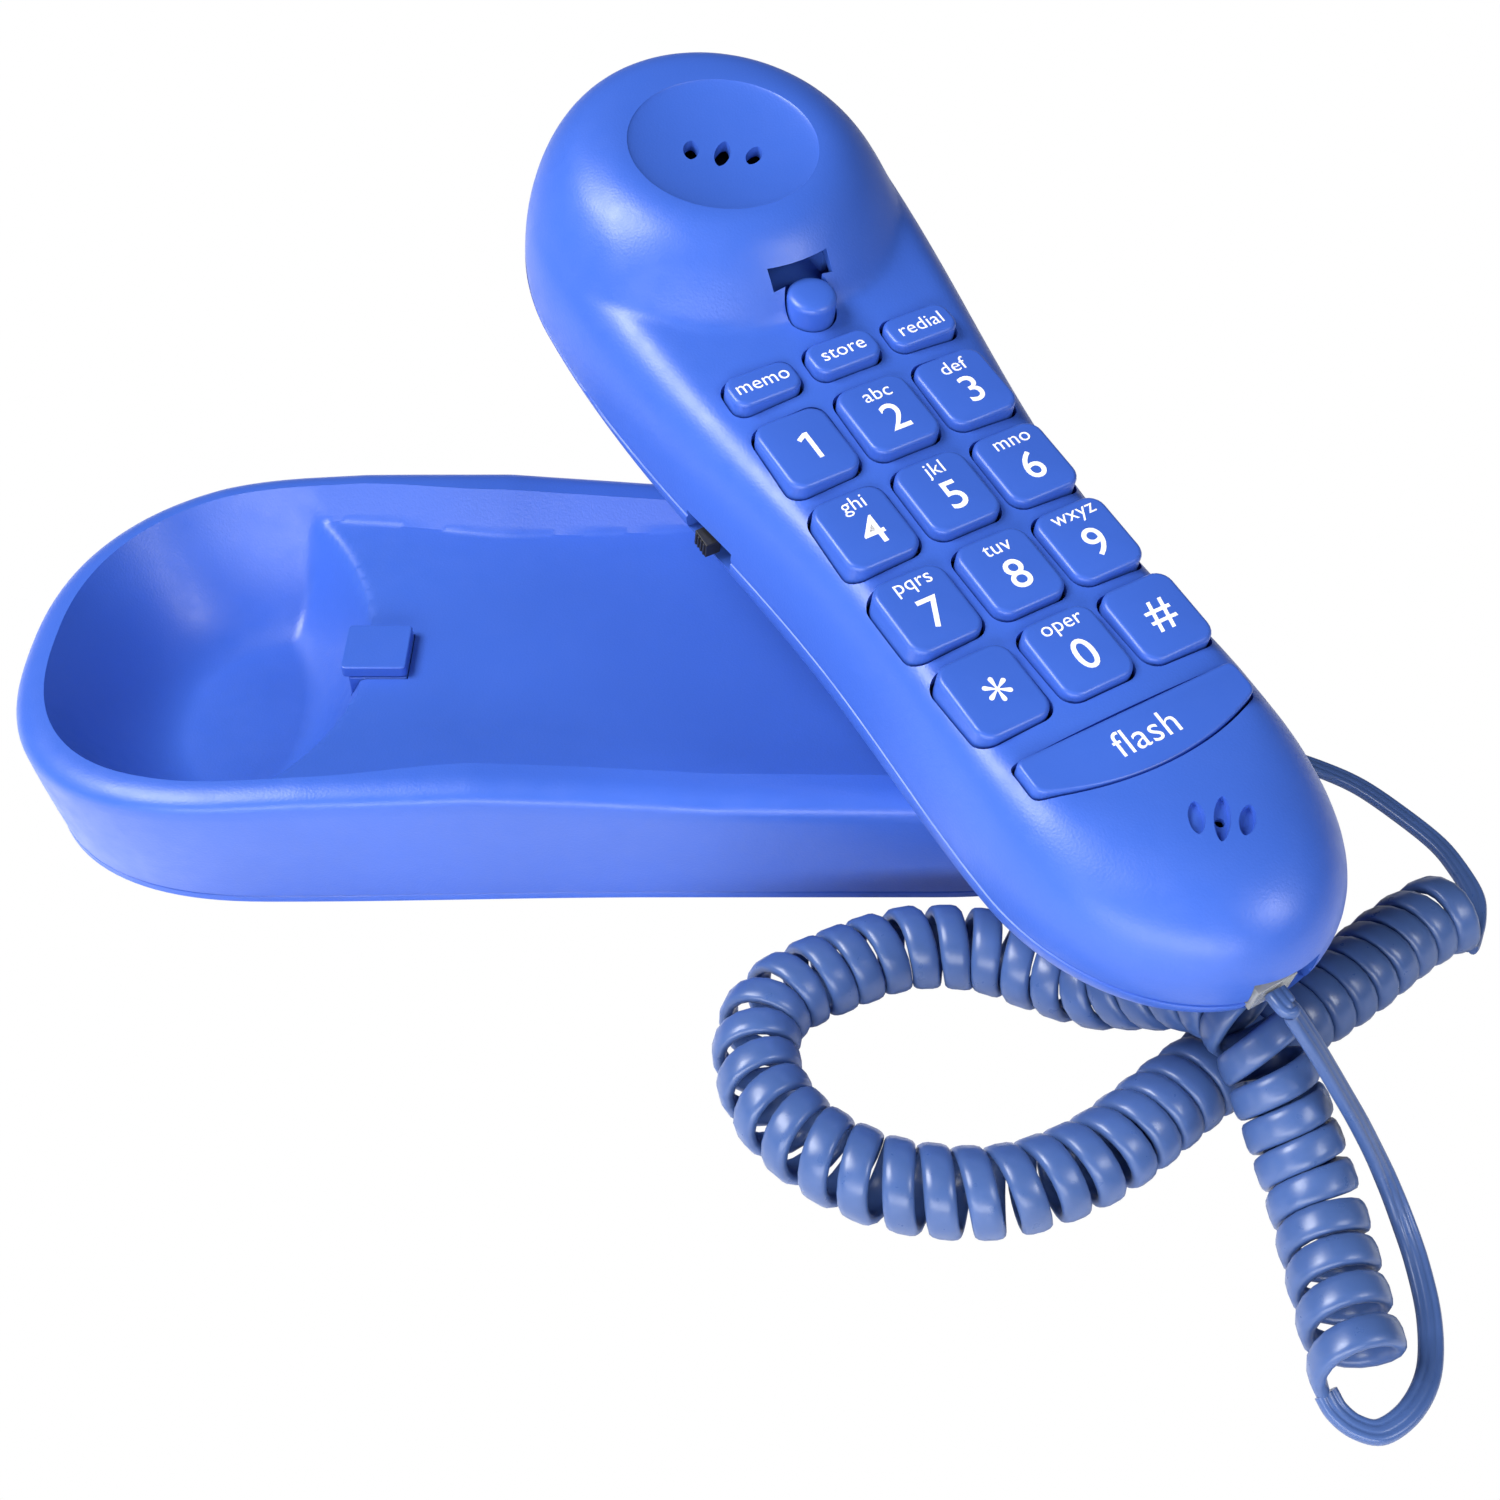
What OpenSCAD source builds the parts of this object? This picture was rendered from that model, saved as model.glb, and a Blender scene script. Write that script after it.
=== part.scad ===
// Slimline corded telephone: a long cradle base, a banana-shaped handset with
// large push keys, and a curly cord that ends in a short flat lead at each side.
// Origin: centre of the base's outline, on the surface that its feet stand on.
// +X runs along the base to its jack end, +Y to the rear, +Z up.
// The handset is drawn in its own frame: x to its right, y to the earpiece, z out
// of its face, and put_handset() lays it across the base.

/* [Base] */
// Length of the base
base_l = 216; // [210:1:222]
// Height of the finger peak on the rim above the table
peak_h = 35; // [33:0.5:37]
// Wall thickness of the base shells
base_wall = 2.4; // [2:0.1:2.8]

/* [Handset] */
// Thickness of the handset between its face and its back at the keypad
handset_t = 35; // [33:0.5:37]
// Height of the earpiece dome above the keypad face
dome_h = 15.5; // [14:0.5:17]
// Wall thickness of the handset shells
shell_wall = 2.2; // [1.8:0.1:2.4]

/* [Keys] */
// Distance between key columns
pitch_x = 16; // [15.8:0.1:16.4]
// Distance between key rows
pitch_y = 18.5; // [18:0.1:19]
// How far the keys stand out of the face
key_proud = 1.8; // [1.4:0.1:2.2]
// Travel of every key
key_travel = 1.2; // [0.8:0.1:1.3]

/* [Cord] */
// Outer diameter of the curly cord
curl_d = 15; // [14:0.5:15.5]
// Width of the flat lead
lead_w = 3.8; // [3.4:0.1:4.4]

/* [Hidden] */

$fn = 48;
blue = [0.27, 0.45, 0.86];
key_blue = [0.25, 0.42, 0.82];
cord_blue = [0.35, 0.49, 0.76];
steel = [0.72, 0.73, 0.75];
clear = [0.85, 0.9, 0.95, 0.5];
gap = 0.4;

// ---- base outline and surface ----
base_w = 46;             // half-width of the base at the bowl
base_waist = 44.8;       // half-width along the cradle
base_end = 48;           // length of each rounded end
end_power = 2.4;         // how square the rounded ends are
foot_ratio = 0.87;       // width of the foot outline against the rim outline
base_seam = 3;           // height of the joint between cover and bottom plate
rim_w = [5.3, 7.6];       // width of the rim's top at the bowl and along the cradle
rim_roll = 3;            // radius of the rim's outer edge
floor_z = 25;            // height of the cradle's floor
bowl_z = 8.5;            // height of the bowl's floor
bowl_edge = [-100, 55];  // x of the centre, and radius, of the bowl's edge arc
peak_x = -21;            // where the rim peaks
// height of the rim along the base, below the peak's height
rim_drop = [[-108, 6], [-78, 2.5], [-50, 1], [peak_x, 0], [-3, 1.6], [20, 3],
    [60, 3.5], [108, 8]];

function blend(t) = (1 - cos(180 * max(0, min(1, t)))) / 2;
base_straight = base_l / 2 - base_end;   // where the rounded ends start
function base_mid(x) = base_w + (base_waist - base_w) * blend((x + base_straight) / 70);
function end_run(x) = max(0, (abs(x) - base_straight) / base_end);
function base_half(x) =
    base_mid(x) * pow(max(0, 1 - pow(end_run(x), end_power)), 1 / end_power);
// 1 on the outline and 0 on the centre line
function base_edge(x, y) = pow(pow(abs(y) / base_mid(x), end_power)
    + pow(end_run(x), end_power), 1 / end_power);
function base_inset(x, y) = (1 - base_edge(x, y)) * base_w;
function rim_z(x) = peak_h - lookup(x, rim_drop);
function bowl_run(x, y) = bowl_edge[1] - norm([x - bowl_edge[0], y]);
function cradle_z(x, y) = floor_z + 3 * pow(y / 37, 2) - 5 * blend((x - 60) / 40);
function fall(t) = 1 - sin(90 * max(0, min(1, t)));
function inner_z(x, y, d) = bowl_run(x, y) > 0
    ? bowl_z + max((rim_z(x) - bowl_z) * fall(d / 20),
        (cradle_z(x, y) - bowl_z) * fall(bowl_run(x, y) / 15))
    : max(cradle_z(x, y), rim_z(x) - 2.2 * d);
function rolled(d) = rim_roll - sqrt(max(0, pow(rim_roll, 2) - pow(rim_roll - min(d, rim_roll), 2)));
function rim_width(x) = rim_w[0] + (rim_w[1] - rim_w[0]) * blend((x + 52) / 32);
function base_top(x, y) = let (d = base_inset(x, y), w = rim_width(x))
    d > w ? inner_z(x, y, d - w) : rim_z(x) - rolled(max(0, d));

// ---- handset outline and surface ----
mouth_y = -50;           // where the mouth end's rounding starts
mouth_w = 28.4;          // half-width there
mouth_l = 37;            // length of the mouth end's rounding
waist_y = -8;            // narrowest place
waist_w = 27.2;          // half-width there
ear_y = 82;              // centre of the round earpiece end
ear_r = 36.5;            // radius of the earpiece end
dome_y = 85.5;           // centre of the earpiece dome
dome_r = [17, 33.5];     // radius of the dome's top and of its foot
dish_depth = 2.6;        // depth of the dish in the dome's top
face_sag = 0.00115;      // lengthwise hollow of the face
face_crown = 0.0026;     // crosswise crown of the face
seam_drop = 20;          // depth of the seam below the face at the keypad
seam_sag = 0.0012;       // lengthwise curve of the seam
back_sag = 0.0019;       // lengthwise curve of the back
front_round = 0.3;       // share of the half-width that the front's edge rounds off
back_round = 0.6;        // the same at the back
edge_power = 2.4;        // how full the rounded edges are

function handset_mid(y) = y < waist_y
    ? waist_w + (mouth_w - waist_w) * blend((waist_y - y) / (waist_y - mouth_y))
    : waist_w + (ear_r - waist_w) * blend((y - waist_y) / (ear_y - waist_y));
function handset_half(y, i) =
    y < mouth_y ? (mouth_w - i) * sqrt(max(0, 1 - pow((y - mouth_y) / (mouth_l - i), 2)))
    : y > ear_y ? sqrt(max(0, pow(ear_r - i, 2) - pow(y - ear_y, 2)))
    : handset_mid(y) - i;
function handset_edge(x, y, i) =
    y < mouth_y ? norm([x / (mouth_w - i), (y - mouth_y) / (mouth_l - i)])
    : y > ear_y ? norm([x, y - ear_y]) / (ear_r - i)
    : abs(x) / (handset_mid(y) - i);
function rounded(q, share) =
    pow(max(0, 1 - pow(1 - min(1, max(0, 1 - q) / share), edge_power)), 1 / edge_power);
function seam_z(y) = -seam_drop + seam_sag * y * y;
function plain_face(x, y) = face_sag * y * y - face_crown * x * x;
function dome_share(r) = let (t = (r - dome_r[0]) / (dome_r[1] - dome_r[0]))
    t <= 0 ? 1 : t >= 1 ? 0 : pow(cos(90 * t), 1.12);
function dish(r) = r < dome_r[0] ? dish_depth * pow(cos(90 * r / dome_r[0]), 0.7) : 0;
function face_z(x, y) = let (r = norm([x, y - dome_y]), f = plain_face(x, y))
    f + (dome_h - f) * dome_share(r) - dish(r);
function front_z(x, y, i) =
    seam_z(y) + (face_z(x, y) - i - seam_z(y)) * rounded(handset_edge(x, y, i), front_round);
function back_z(x, y, i) = let (b = -handset_t + back_sag * y * y + 0.004 * x * x)
    seam_z(y) + (b + i - seam_z(y)) * rounded(handset_edge(x, y, i), back_round);

// ---- keypad ----
key_w = 13.7;            // width and length of a number key
key_l = 15.4;
key_round = 3;
hole_gap = 0.45;         // gap between a key and its hole
flange_drop = 4.6;       // from the face down to the key's retaining flange
flange_t = 0.9;
board_z = -11.6;         // top of the main board
board_t = 1.6;
dome_top = 2.8;          // height of the membrane's domes above the board
stem_end = board_z + dome_top + key_travel + 0.1;
function_y = 42.5;       // row of the three small keys
function_w = 13.2;
function_l = 7;
flash_y = -40.5;         // straight edge of the flash key
flash_w = 42;
flash_l = 10.8;
flash_side = 6.2;

// ---- earpiece, hook and microphone ----
plunger_y = 53.5;        // centre of the hook plunger
plunger_r = 4.4;
plunger_top = 7.6;
plunger_travel = 3.5;
plunger_seat = board_z + 5;
mic_y = -64;
ringer_y = 20;           // centre and height of the ringer's disc
ringer_z = -30.5;
holes_turn = -32;        // both groups of sound holes are turned in the shell

// ---- handset pose ----
rest_at = [63.7, -20.4, 70.2];
rest_turn = [12.5, -1.7, 30.8];

// ---- jacks and plugs ----
jack_x = 100.2;          // outer end of the base's jacks
coil_jack_y = -10;
line_jack_y = 12;
jack_z = 12;
handset_jack = [-2.5, -81, -10];
plug_w = 7.6;            // width and length of both plugs
plug_l = 14.5;
base_plug_end = 108.6;   // where the flat lead leaves the base's plug
handset_plug_end = -86.5;

// ---- cord routes, laid on the table ----
lead_t = 2.2;
curl_route = [[115.5, -135, 7.6], [115, -126, 7.6], [114.5, -116, 8], [113.5, -107, 10],
    [111, -98.5, 14.5], [108, -91, 20], [106, -86.5, 22.6], [103, -80.5, 23.4],
    [98, -75, 21], [91, -70, 15], [84, -65.5, 9.5], [76, -60.5, 7.6], [67, -56.5, 7.6],
    [58, -55.6, 7.6], [51.5, -56.5, 7.6], [45.5, -58.8, 7.6], [39.5, -61.8, 7.6],
    [34, -65, 7.6], [30, -69, 7.6], [27.8, -74.5, 7.6], [27.8, -81.5, 7.6],
    [30, -88.4, 7.6], [33.8, -93.8, 7.6], [39, -98.5, 7.6], [47.5, -103, 7.6],
    [58, -105, 7.6], [67, -104.6, 7.6], [75, -102, 7.6], [82.5, -98, 7.6],
    [89.5, -92.5, 7.6], [96.5, -86.5, 7.6], [104, -80.5, 7.6], [113, -74, 7.6],
    [122.5, -67.5, 7.6], [131, -61.2, 7.6], [139, -54.5, 7.6], [146, -49.6, 7.6],
    [150, -47.8, 7.6]];
handset_route = [[107, -94.3, 39.5], [111, -96.4, 34], [115.5, -98.5, 27], [120.5, -101, 19],
    [125, -104, 11], [128, -108.5, 5.5], [129.6, -115, 2.6], [129.6, -123.5, 1.5],
    [127.5, -132, 1.5], [123.5, -138, 1.5], [118.5, -141.4, 1.5], [114.8, -140.8, 1.7],
    [112.2, -138.8, 2.5], [110.8, -136.5, 3.7]];
base_route = [[base_plug_end + 0.25, coil_jack_y, jack_z], [112, -10, 11.9], [116, -9.5, 11],
    [122, -7.5, 8], [129, -5.5, 4], [136.5, -6.5, 1.6], [143, -11, 1.5], [149, -18, 1.5],
    [154.5, -26, 1.5], [157, -33, 1.5], [158, -39, 1.5], [157, -44, 1.5],
    [155.3, -48, 1.7], [154, -50.6, 2.3], [153.2, -51.7, 2.9]];

// =====================================================================
// Shared shapes
// =====================================================================

// A closed solid through a list of rings that all have the same number of points
module skin(rings) {
    n = len(rings[0]);
    last = len(rings) - 1;
    sides = [for (j = [0:last - 1], k = [0:n - 1])
        let (a = j * n + k, b = j * n + (k + 1) % n)
        each [[a, b, a + n], [b, b + n, a + n]]];
    caps = [[for (k = [0:n - 1]) n - 1 - k], [for (k = [0:n - 1]) last * n + k]];
    polyhedron([for (r = rings) each r], concat(sides, caps), convexity = 8);
}

module rounded_plate(w, l, r, t) {
    linear_extrude(t) square_round(w, l, r);
}

module square_round(w, l, r) {
    union() {
        square([w - 2 * r, l], center = true);
        square([w, l - 2 * r], center = true);
        for (sx = [-1, 1], sy = [-1, 1])
            translate([sx * (w / 2 - r), sy * (l / 2 - r)]) circle(r);
    }
}

module put_handset() {
    translate(rest_at) rotate(rest_turn) children();
}

// The place that put_handset() moves a point to
function turn_x(p, a) = [p[0], p[1] * cos(a) - p[2] * sin(a), p[1] * sin(a) + p[2] * cos(a)];
function turn_y(p, a) = [p[0] * cos(a) + p[2] * sin(a), p[1], p[2] * cos(a) - p[0] * sin(a)];
function turn_z(p, a) = [p[0] * cos(a) - p[1] * sin(a), p[0] * sin(a) + p[1] * cos(a), p[2]];
function handset_point(p) =
    rest_at + turn_z(turn_y(turn_x(p, rest_turn[0]), rest_turn[1]), rest_turn[2]);

// Points of a smooth curve through a route, with n steps between its points
function spline(p, t, i) = let (a = p[max(0, i - 1)], b = p[i], c = p[i + 1],
        d = p[min(len(p) - 1, i + 2)])
    0.5 * (2 * b + (c - a) * t + (2 * a - 5 * b + 4 * c - d) * t * t
        + (3 * b - a - 3 * c + d) * t * t * t);
function smooth(p, n) = concat([for (i = [0:len(p) - 2], k = [0:n - 1]) spline(p, k / n, i)],
    [p[len(p) - 1]]);

// A tube of oval section, rx wide and rz high, along a list of points
module tube(points, rx, rz, sides) {
    last = len(points) - 1;
    skin([for (i = [0:last])
        let (t = points[min(last, i + 1)] - points[max(0, i - 1)],
            side = cross(t, [0, 0, 1]) / norm(cross(t, [0, 0, 1])),
            up = cross(side, t) / norm(t))
        [for (k = [0:sides - 1]) let (a = 360 * (k + 0.5) / sides)
            points[i] + rx * cos(a) * side + rz * sin(a) * up]]);
}

// =====================================================================
// Base
// =====================================================================

base_cols = [-1, -0.975, -0.945, -0.91, -0.88, -0.85, -0.8, -0.74, -0.66, -0.52, -0.3, 0,
    0.3, 0.52, 0.66, 0.74, 0.8, 0.85, 0.88, 0.91, 0.945, 0.975, 1];
hollow_end = 20;         // height of the hollow's flat ends
base_rows = [-107.9, -106.5, -105, -103, -101, -98, -94, -89, -83, -76, -69, -62, -56, -51,
    -47.5, -45, -42, -34, -27, -21, -12, -3, 9, 20, 40, 60, 76, 88, 96, 101, 104, 106, 107.9];

// Lowest height of the cover's outside at (x, y) and a step away to the middle and to the bowl,
// so that a shell kept below it is as thick across a steep wall as over a level one
function base_low(x, y, step) = min(base_top(x, y),
    base_top(x, y - step * sign(y)),
    x < base_straight ? base_top(x + step, y) : peak_h,
    x > -base_straight ? base_top(x - step, y) : peak_h);

// Section of the base at x, moved in by thin and down by down; limit caps its height
function base_ring(x, down, thin, limit = 2 * peak_h) = let (w = base_half(x) - thin, f = foot_ratio)
    concat([for (s = base_cols)
            [x, s * w, min(limit - 2 * s * s, base_low(x, s * w, thin) - down)]],
        [[x, w * 0.94, 0.55 * rim_z(x) - down], [x, w * f, base_seam - down],
        [x, -w * f, base_seam - down], [x, -w * 0.94, 0.55 * rim_z(x) - down]]);

module base_solid() {
    skin([for (x = base_rows) base_ring(x, 0, 0)]);
}

module base_hollow() {
    inner = [for (x = base_rows) if (x > -102 && x < 100) base_ring(x, base_wall, base_wall)];
    skin(concat([base_ring(-102.4, base_wall, base_wall, hollow_end)], inner,
        [base_ring(100.4, base_wall, base_wall, hollow_end)]));
}

module foot_outline(grow) {
    rows = [for (x = base_rows) if (abs(x) < base_l / 2 - 1) x];
    right = [for (x = rows) [x, base_half(x) * foot_ratio + grow]];
    left = [for (i = [len(rows) - 1:-1:0]) [rows[i], -base_half(rows[i]) * foot_ratio - grow]];
    polygon(concat(right, left));
}

screw_at = [[-78, -22], [-78, 22], [78, -22], [78, 22]];
foot_at = [[-90, -20], [-90, 20], [89, -20], [89, 20]];
keyhole_x = [-45, 37.6];

module jack_cut(y, w, h) {
    translate([jack_x - 1, y - w / 2, jack_z - h / 2]) cube([30, w, h]);
}

module base_cover() {
    color(blue) {
        difference() {
            base_solid();
            base_hollow();
            jack_cut(coil_jack_y, 8.4, 7);
            jack_cut(line_jack_y, 10.4, 7.4);
            translate([-48, -6.2, 16]) cube([11.2, 12.4, 14]);
        }
        for (p = screw_at) screw_post(p);
    }
}

// Post under the cover that a bottom screw bites into
module screw_post(p) {
    top = base_top(p[0], p[1]) - base_wall / 2;
    difference() {
        translate([p[0], p[1], base_seam + 0.1]) cylinder(h = top - base_seam, r = 3.4);
        translate([p[0], p[1], base_seam]) cylinder(h = 3.6, r = 1.6);
    }
}

module base_bottom() {
    color(blue) difference() {
        translate([0, 0, 1]) linear_extrude(base_seam - 1.1) foot_outline(-0.2);
        for (p = screw_at) translate([p[0], p[1], -1]) cylinder(h = 8, r = 1.7);
        for (p = foot_at) translate([p[0], p[1], 0]) cylinder(h = 1.9, r = 5);
        for (x = keyhole_x) translate([x, 0, -1]) {
            cylinder(h = 8, r = 4.6);
            translate([-9, -2.3, 0]) cube([9, 4.6, 8]);
            translate([-9, 0, 0]) cylinder(h = 8, r = 2.3);
        }
    }
}

module base_feet() {
    color([0.12, 0.12, 0.13]) for (p = foot_at) translate([p[0], p[1], 0])
        cylinder(h = 1.9, r = 4.98);
}

module base_screws() {
    color(steel) for (p = screw_at) translate([p[0], p[1], 0.4]) difference() {
        union() {
            cylinder(h = 0.6, r = 2.8);
            cylinder(h = 6, r = 1.45);
        }
        translate([-2, -0.3, -0.1]) cube([4, 0.6, 0.5]);
        translate([-0.3, -2, -0.1]) cube([0.6, 4, 0.5]);
    }
}

module ballast_plate() {
    color(steel) translate([2, 0, base_seam]) rounded_plate(44, 46, 4, 3);
}

module hanger_tab() {
    color(blue) difference() {
        union() {
            translate([-49, -6, 25.3]) cube([12, 12, 2.4]);
            translate([-47.8, -6, 17]) cube([10.8, 12, 8.4]);
        }
        translate([-45.6, -4, 15]) cube([6.4, 8, 8]);
    }
}

// A four-way socket: open box with a bar of contacts on its roof
module socket(w, h, depth, wall) {
    difference() {
        translate([-depth, -w / 2 - wall, -h / 2 - wall]) cube([depth, w + 2 * wall, h + 2 * wall]);
        translate([-depth + wall, -w / 2, -h / 2]) cube([depth, w, h]);
    }
    for (k = [-1.5:1:1.5]) translate([-depth + wall, k * 1.1 - 0.2, h / 2 - 0.6])
        cube([2, 0.4, 0.6]);
}

module base_jack() {
    color([0.15, 0.15, 0.16]) translate([jack_x, coil_jack_y, jack_z]) socket(7.8, 6.4, 13, 1);
}

module line_jack() {
    color([0.15, 0.15, 0.16]) translate([jack_x, line_jack_y, jack_z]) socket(9.8, 6.8, 13, 1);
}

module jack_board() {
    color([0.2, 0.45, 0.25]) translate([70, -17, jack_z - 5.9]) cube([30, 35.2, 1.4]);
}

// Modular plug along +X: a clear body with a sprung latch over it
module plug() {
    translate([-plug_l, -plug_w / 2, -3.1]) cube([plug_l, plug_w, 5.4]);
    translate([1 - plug_l, -1.6, -3.1]) cube([1.2, 3.2, 6]);
    translate([1 - plug_l, -1.6, 2.6]) cube([plug_l - 1, 3.2, 0.5]);
}

module base_plug() {
    color(clear) translate([base_plug_end, coil_jack_y, jack_z]) plug();
}

module base_lead() {
    color(cord_blue) tube(smooth(base_route, 2), lead_w / 2, lead_t / 2, 8);
}

// The lead leaves the handset's plug squarely, then follows its route
module handset_lead() {
    exit = [for (out = [0.25, 3]) handset_point([handset_jack[0], handset_plug_end - out,
        handset_jack[2]])];
    color(cord_blue) tube(smooth(concat(exit, handset_route), 2), lead_w / 2, lead_t / 2, 8);
}

module curly_cord() {
    color(cord_blue) tube(curl_route, curl_d / 2, curl_d / 2, 12);
}

// =====================================================================
// Handset shells
// =====================================================================

shell_cols = [-1, -0.985, -0.95, -0.89, -0.8, -0.68, -0.5, -0.25, 0,
    0.25, 0.5, 0.68, 0.8, 0.89, 0.95, 0.985, 1];
function shell_rows(i) = concat(
    [for (a = [86, 76, 64, 52, 38, 24, 10]) mouth_y - (mouth_l - i) * sin(a)],
    [for (y = [mouth_y:12:46]) y], [53, 57, 61, 66, 72, 78],
    [for (a = [4, 14, 24, 34, 45, 56, 68, 78, 86]) ear_y + (ear_r - i) * sin(a)]);

// Ring across the handset at y; past > 0 carries the solid beyond the seam
function shell_ring(y, i, past, up) = let (w = handset_half(y, i),
        z = [for (s = shell_cols) up > 0 ? front_z(s * w, y, i) : back_z(s * w, y, i)],
        top = [for (k = [0:len(shell_cols) - 1]) [shell_cols[k] * w, y, z[k]]])
    concat(top, past > 0 ? [[w, y, seam_z(y) - up * past], [-w, y, seam_z(y) - up * past]] : []);

module shell_solid(i, past, up) {
    rings = [for (y = shell_rows(i)) shell_ring(y, i, past, up)];
    flip = [for (j = [len(rings) - 1:-1:0]) rings[j]];
    skin(up > 0 ? flip : rings);
}

function key_places() = [for (r = [0:3], c = [0:2]) [(c - 1) * pitch_x, (1.5 - r) * pitch_y]];
function key_face(p) = plain_face(p[0], p[1]);

module flash_shape(grow) {
    drop = flash_l - flash_side;
    radius = (pow(flash_w / 2, 2) + drop * drop) / (2 * drop);
    w = flash_w + 2 * grow;
    intersection() {
        translate([-w / 2, flash_y - flash_l - grow]) square([w, flash_l + 2 * grow]);
        translate([0, flash_y - flash_l + radius]) circle(radius + grow, $fn = 160);
    }
}

// A pointed oval, w across and l long
module oval(w, l, depth) {
    linear_extrude(depth) polygon([for (a = [0:30:330])
        [w / 2 * cos(a), l / 2 * sin(a) * (1 - 0.12 * abs(cos(a)))]]);
}

// Three ovals side by side, the middle one longer
module sound_ovals(w, middle_l, outer_l, spacing, depth) {
    for (k = [-1:1]) translate([k * spacing, 0, 0]) rotate([0, 0, -8 * k])
        oval(w, k == 0 ? middle_l : outer_l, depth);
}

module front_openings() {
    for (p = key_places()) translate([p[0], p[1], -12])
        rounded_plate(key_w + 2 * hole_gap, key_l + 2 * hole_gap, key_round, 30);
    for (c = [-1:1]) translate([c * pitch_x, function_y, -12])
        rounded_plate(function_w + 2 * hole_gap, function_l + 2 * hole_gap, 2.6, 30);
    translate([0, 0, -12]) linear_extrude(30) flash_shape(hole_gap);
    translate([0, plunger_y, -12]) cylinder(h = 30, r = plunger_r + gap);
    translate([-6, plunger_y + 3, 4.2]) cube([12, 9, 6.2]);
    translate([0, dome_y, dome_h - dish_depth - 4]) rotate([0, 0, holes_turn])
        sound_ovals(2.8, 6.8, 5, 5.6, 8);
    translate([0, mic_y, plain_face(0, mic_y)]) rotate([0, 0, holes_turn]) {
        translate([0, 0, -0.9]) sound_ovals(2.9, 8.4, 6, 4.4, 8);
        translate([0, 0, -6]) cylinder(h = 10, r = 0.8, $fn = 16);
    }
    slider_cut();
    plug_cut();
}

module slider_cut() {
    translate([-34, 26, -21.6]) cube([10, 12, 4.6]);
}

// Notch at the mouth end, open a little to the right of the plug
module plug_cut() {
    translate([handset_jack[0] - plug_w / 2 - 0.5, -92, handset_jack[2] - 3.7]) cube([12.2, 9, 7.4]);
}

module handset_front() {
    color(blue) put_handset() {
        difference() {
            shell_solid(0, 0, 1);
            shell_solid(shell_wall, 3, 1);
            front_openings();
        }
        for (p = board_posts) front_post(p, board_z - board_t, post_r);
        for (p = back_screw_at) difference() {
            front_post(p, max([for (q = around(p, 3)) back_z(q[0], q[1], shell_wall)]) + 0.3, 3);
            translate([p[0], p[1], -40]) cylinder(h = 40, r = 1.6);
        }
        difference() {
            translate([0, plunger_y, plunger_seat + 2.1]) cylinder(h = 8, r = plunger_r + 2);
            translate([0, plunger_y, -12]) cylinder(h = 30, r = plunger_r + gap);
        }
    }
}

post_r = 1.4;
board_posts = [[-15, 50.8], [15, 50.8], [-8, -38.2], [8, -38.2]];
back_screw_at = [[-13, 63], [13, 63], [-14, -60], [14, -60]];

function around(p, r) = [for (a = [0:45:315]) p + r * [cos(a), sin(a)]];

// Post from inside the front shell's wall down to the height low
module front_post(p, low, r) {
    top = min([for (q = around(p, r)) face_z(q[0], q[1])]) - shell_wall / 2;
    translate([p[0], p[1], low]) cylinder(h = top - low, r = r);
}

module handset_back() {
    color(blue) put_handset() {
        difference() {
            shell_solid(0, 0, -1);
            shell_solid(shell_wall, 3, -1);
            slider_cut();
            plug_cut();
            for (p = back_screw_at) translate([p[0], p[1], -60]) {
                cylinder(h = 60, r = 1.7);
                cylinder(h = 60 + back_z(p[0], p[1], 0) + 0.9, r = 3);
            }
        }
        translate([0, ringer_y, ringer_z - 2]) difference() {
            cylinder(h = 2, r = 13.6);
            translate([0, 0, -1]) cylinder(h = 4, r = 11.6);
        }
    }
}

module handset_screws() {
    color(steel) put_handset() for (p = back_screw_at)
        translate([p[0], p[1], back_z(p[0], p[1], 0) + 0.2]) {
            cylinder(h = 0.7, r = 2.8);
            cylinder(h = 9, r = 1.45);
        }
}

// =====================================================================
// Handset inside
// =====================================================================

module main_board() {
    color([0.2, 0.45, 0.25]) put_handset() difference() {
        translate([-22, -53, board_z - board_t]) cube([44, 112, board_t]);
        for (p = board_posts) translate([p[0], p[1], -30]) cylinder(h = 40, r = post_r + 0.05);
        translate([0, plunger_y, -30]) cylinder(h = 40, r = 3);
    }
}

module keypad_membrane() {
    color([0.75, 0.77, 0.8]) put_handset() {
        difference() {
            translate([-23, -51, board_z]) cube([46, 97, 1]);
            for (p = board_posts) translate([p[0], p[1], -30]) cylinder(h = 40, r = post_r + 0.5);
        }
        for (p = concat(key_places(), [for (c = [-1:1]) [c * pitch_x, function_y], [0, -45.5]]))
            translate([p[0], p[1], board_z + 1]) cylinder(h = dome_top - 1, r1 = 4.2, r2 = 3);
    }
}

module dialler_chip() {
    color([0.1, 0.1, 0.11]) put_handset() {
        translate([-5, -12, board_z - board_t - 3]) cube([10, 24, 3]);
        for (k = [-4:4], s = [-1, 1])
            translate([s * 5.4 - 0.4, k * 2.54 - 0.25, board_z - board_t - 2]) cube([0.8, 0.5, 2]);
    }
}

module board_capacitors() {
    color([0.16, 0.18, 0.3]) put_handset()
        for (p = [[-13, -20], [13, -20], [13, 18]])
            translate([p[0], p[1], board_z - board_t - 9]) cylinder(h = 9, r = 3.2);
}

module receiver() {
    color([0.3, 0.3, 0.32]) put_handset() translate([0, dome_y, dome_h - dish_depth - 10]) {
        cylinder(h = 5, r = 17);
        translate([0, 0, -3]) cylinder(h = 3, r = 10);
    }
}

module receiver_gasket() {
    color([0.1, 0.1, 0.1]) put_handset() translate([0, dome_y, dome_h - dish_depth - 5])
        difference() {
            cylinder(h = 2.6, r = 14);
            translate([0, 0, -1]) cylinder(h = 5, r = 10.5);
        }
}

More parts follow.
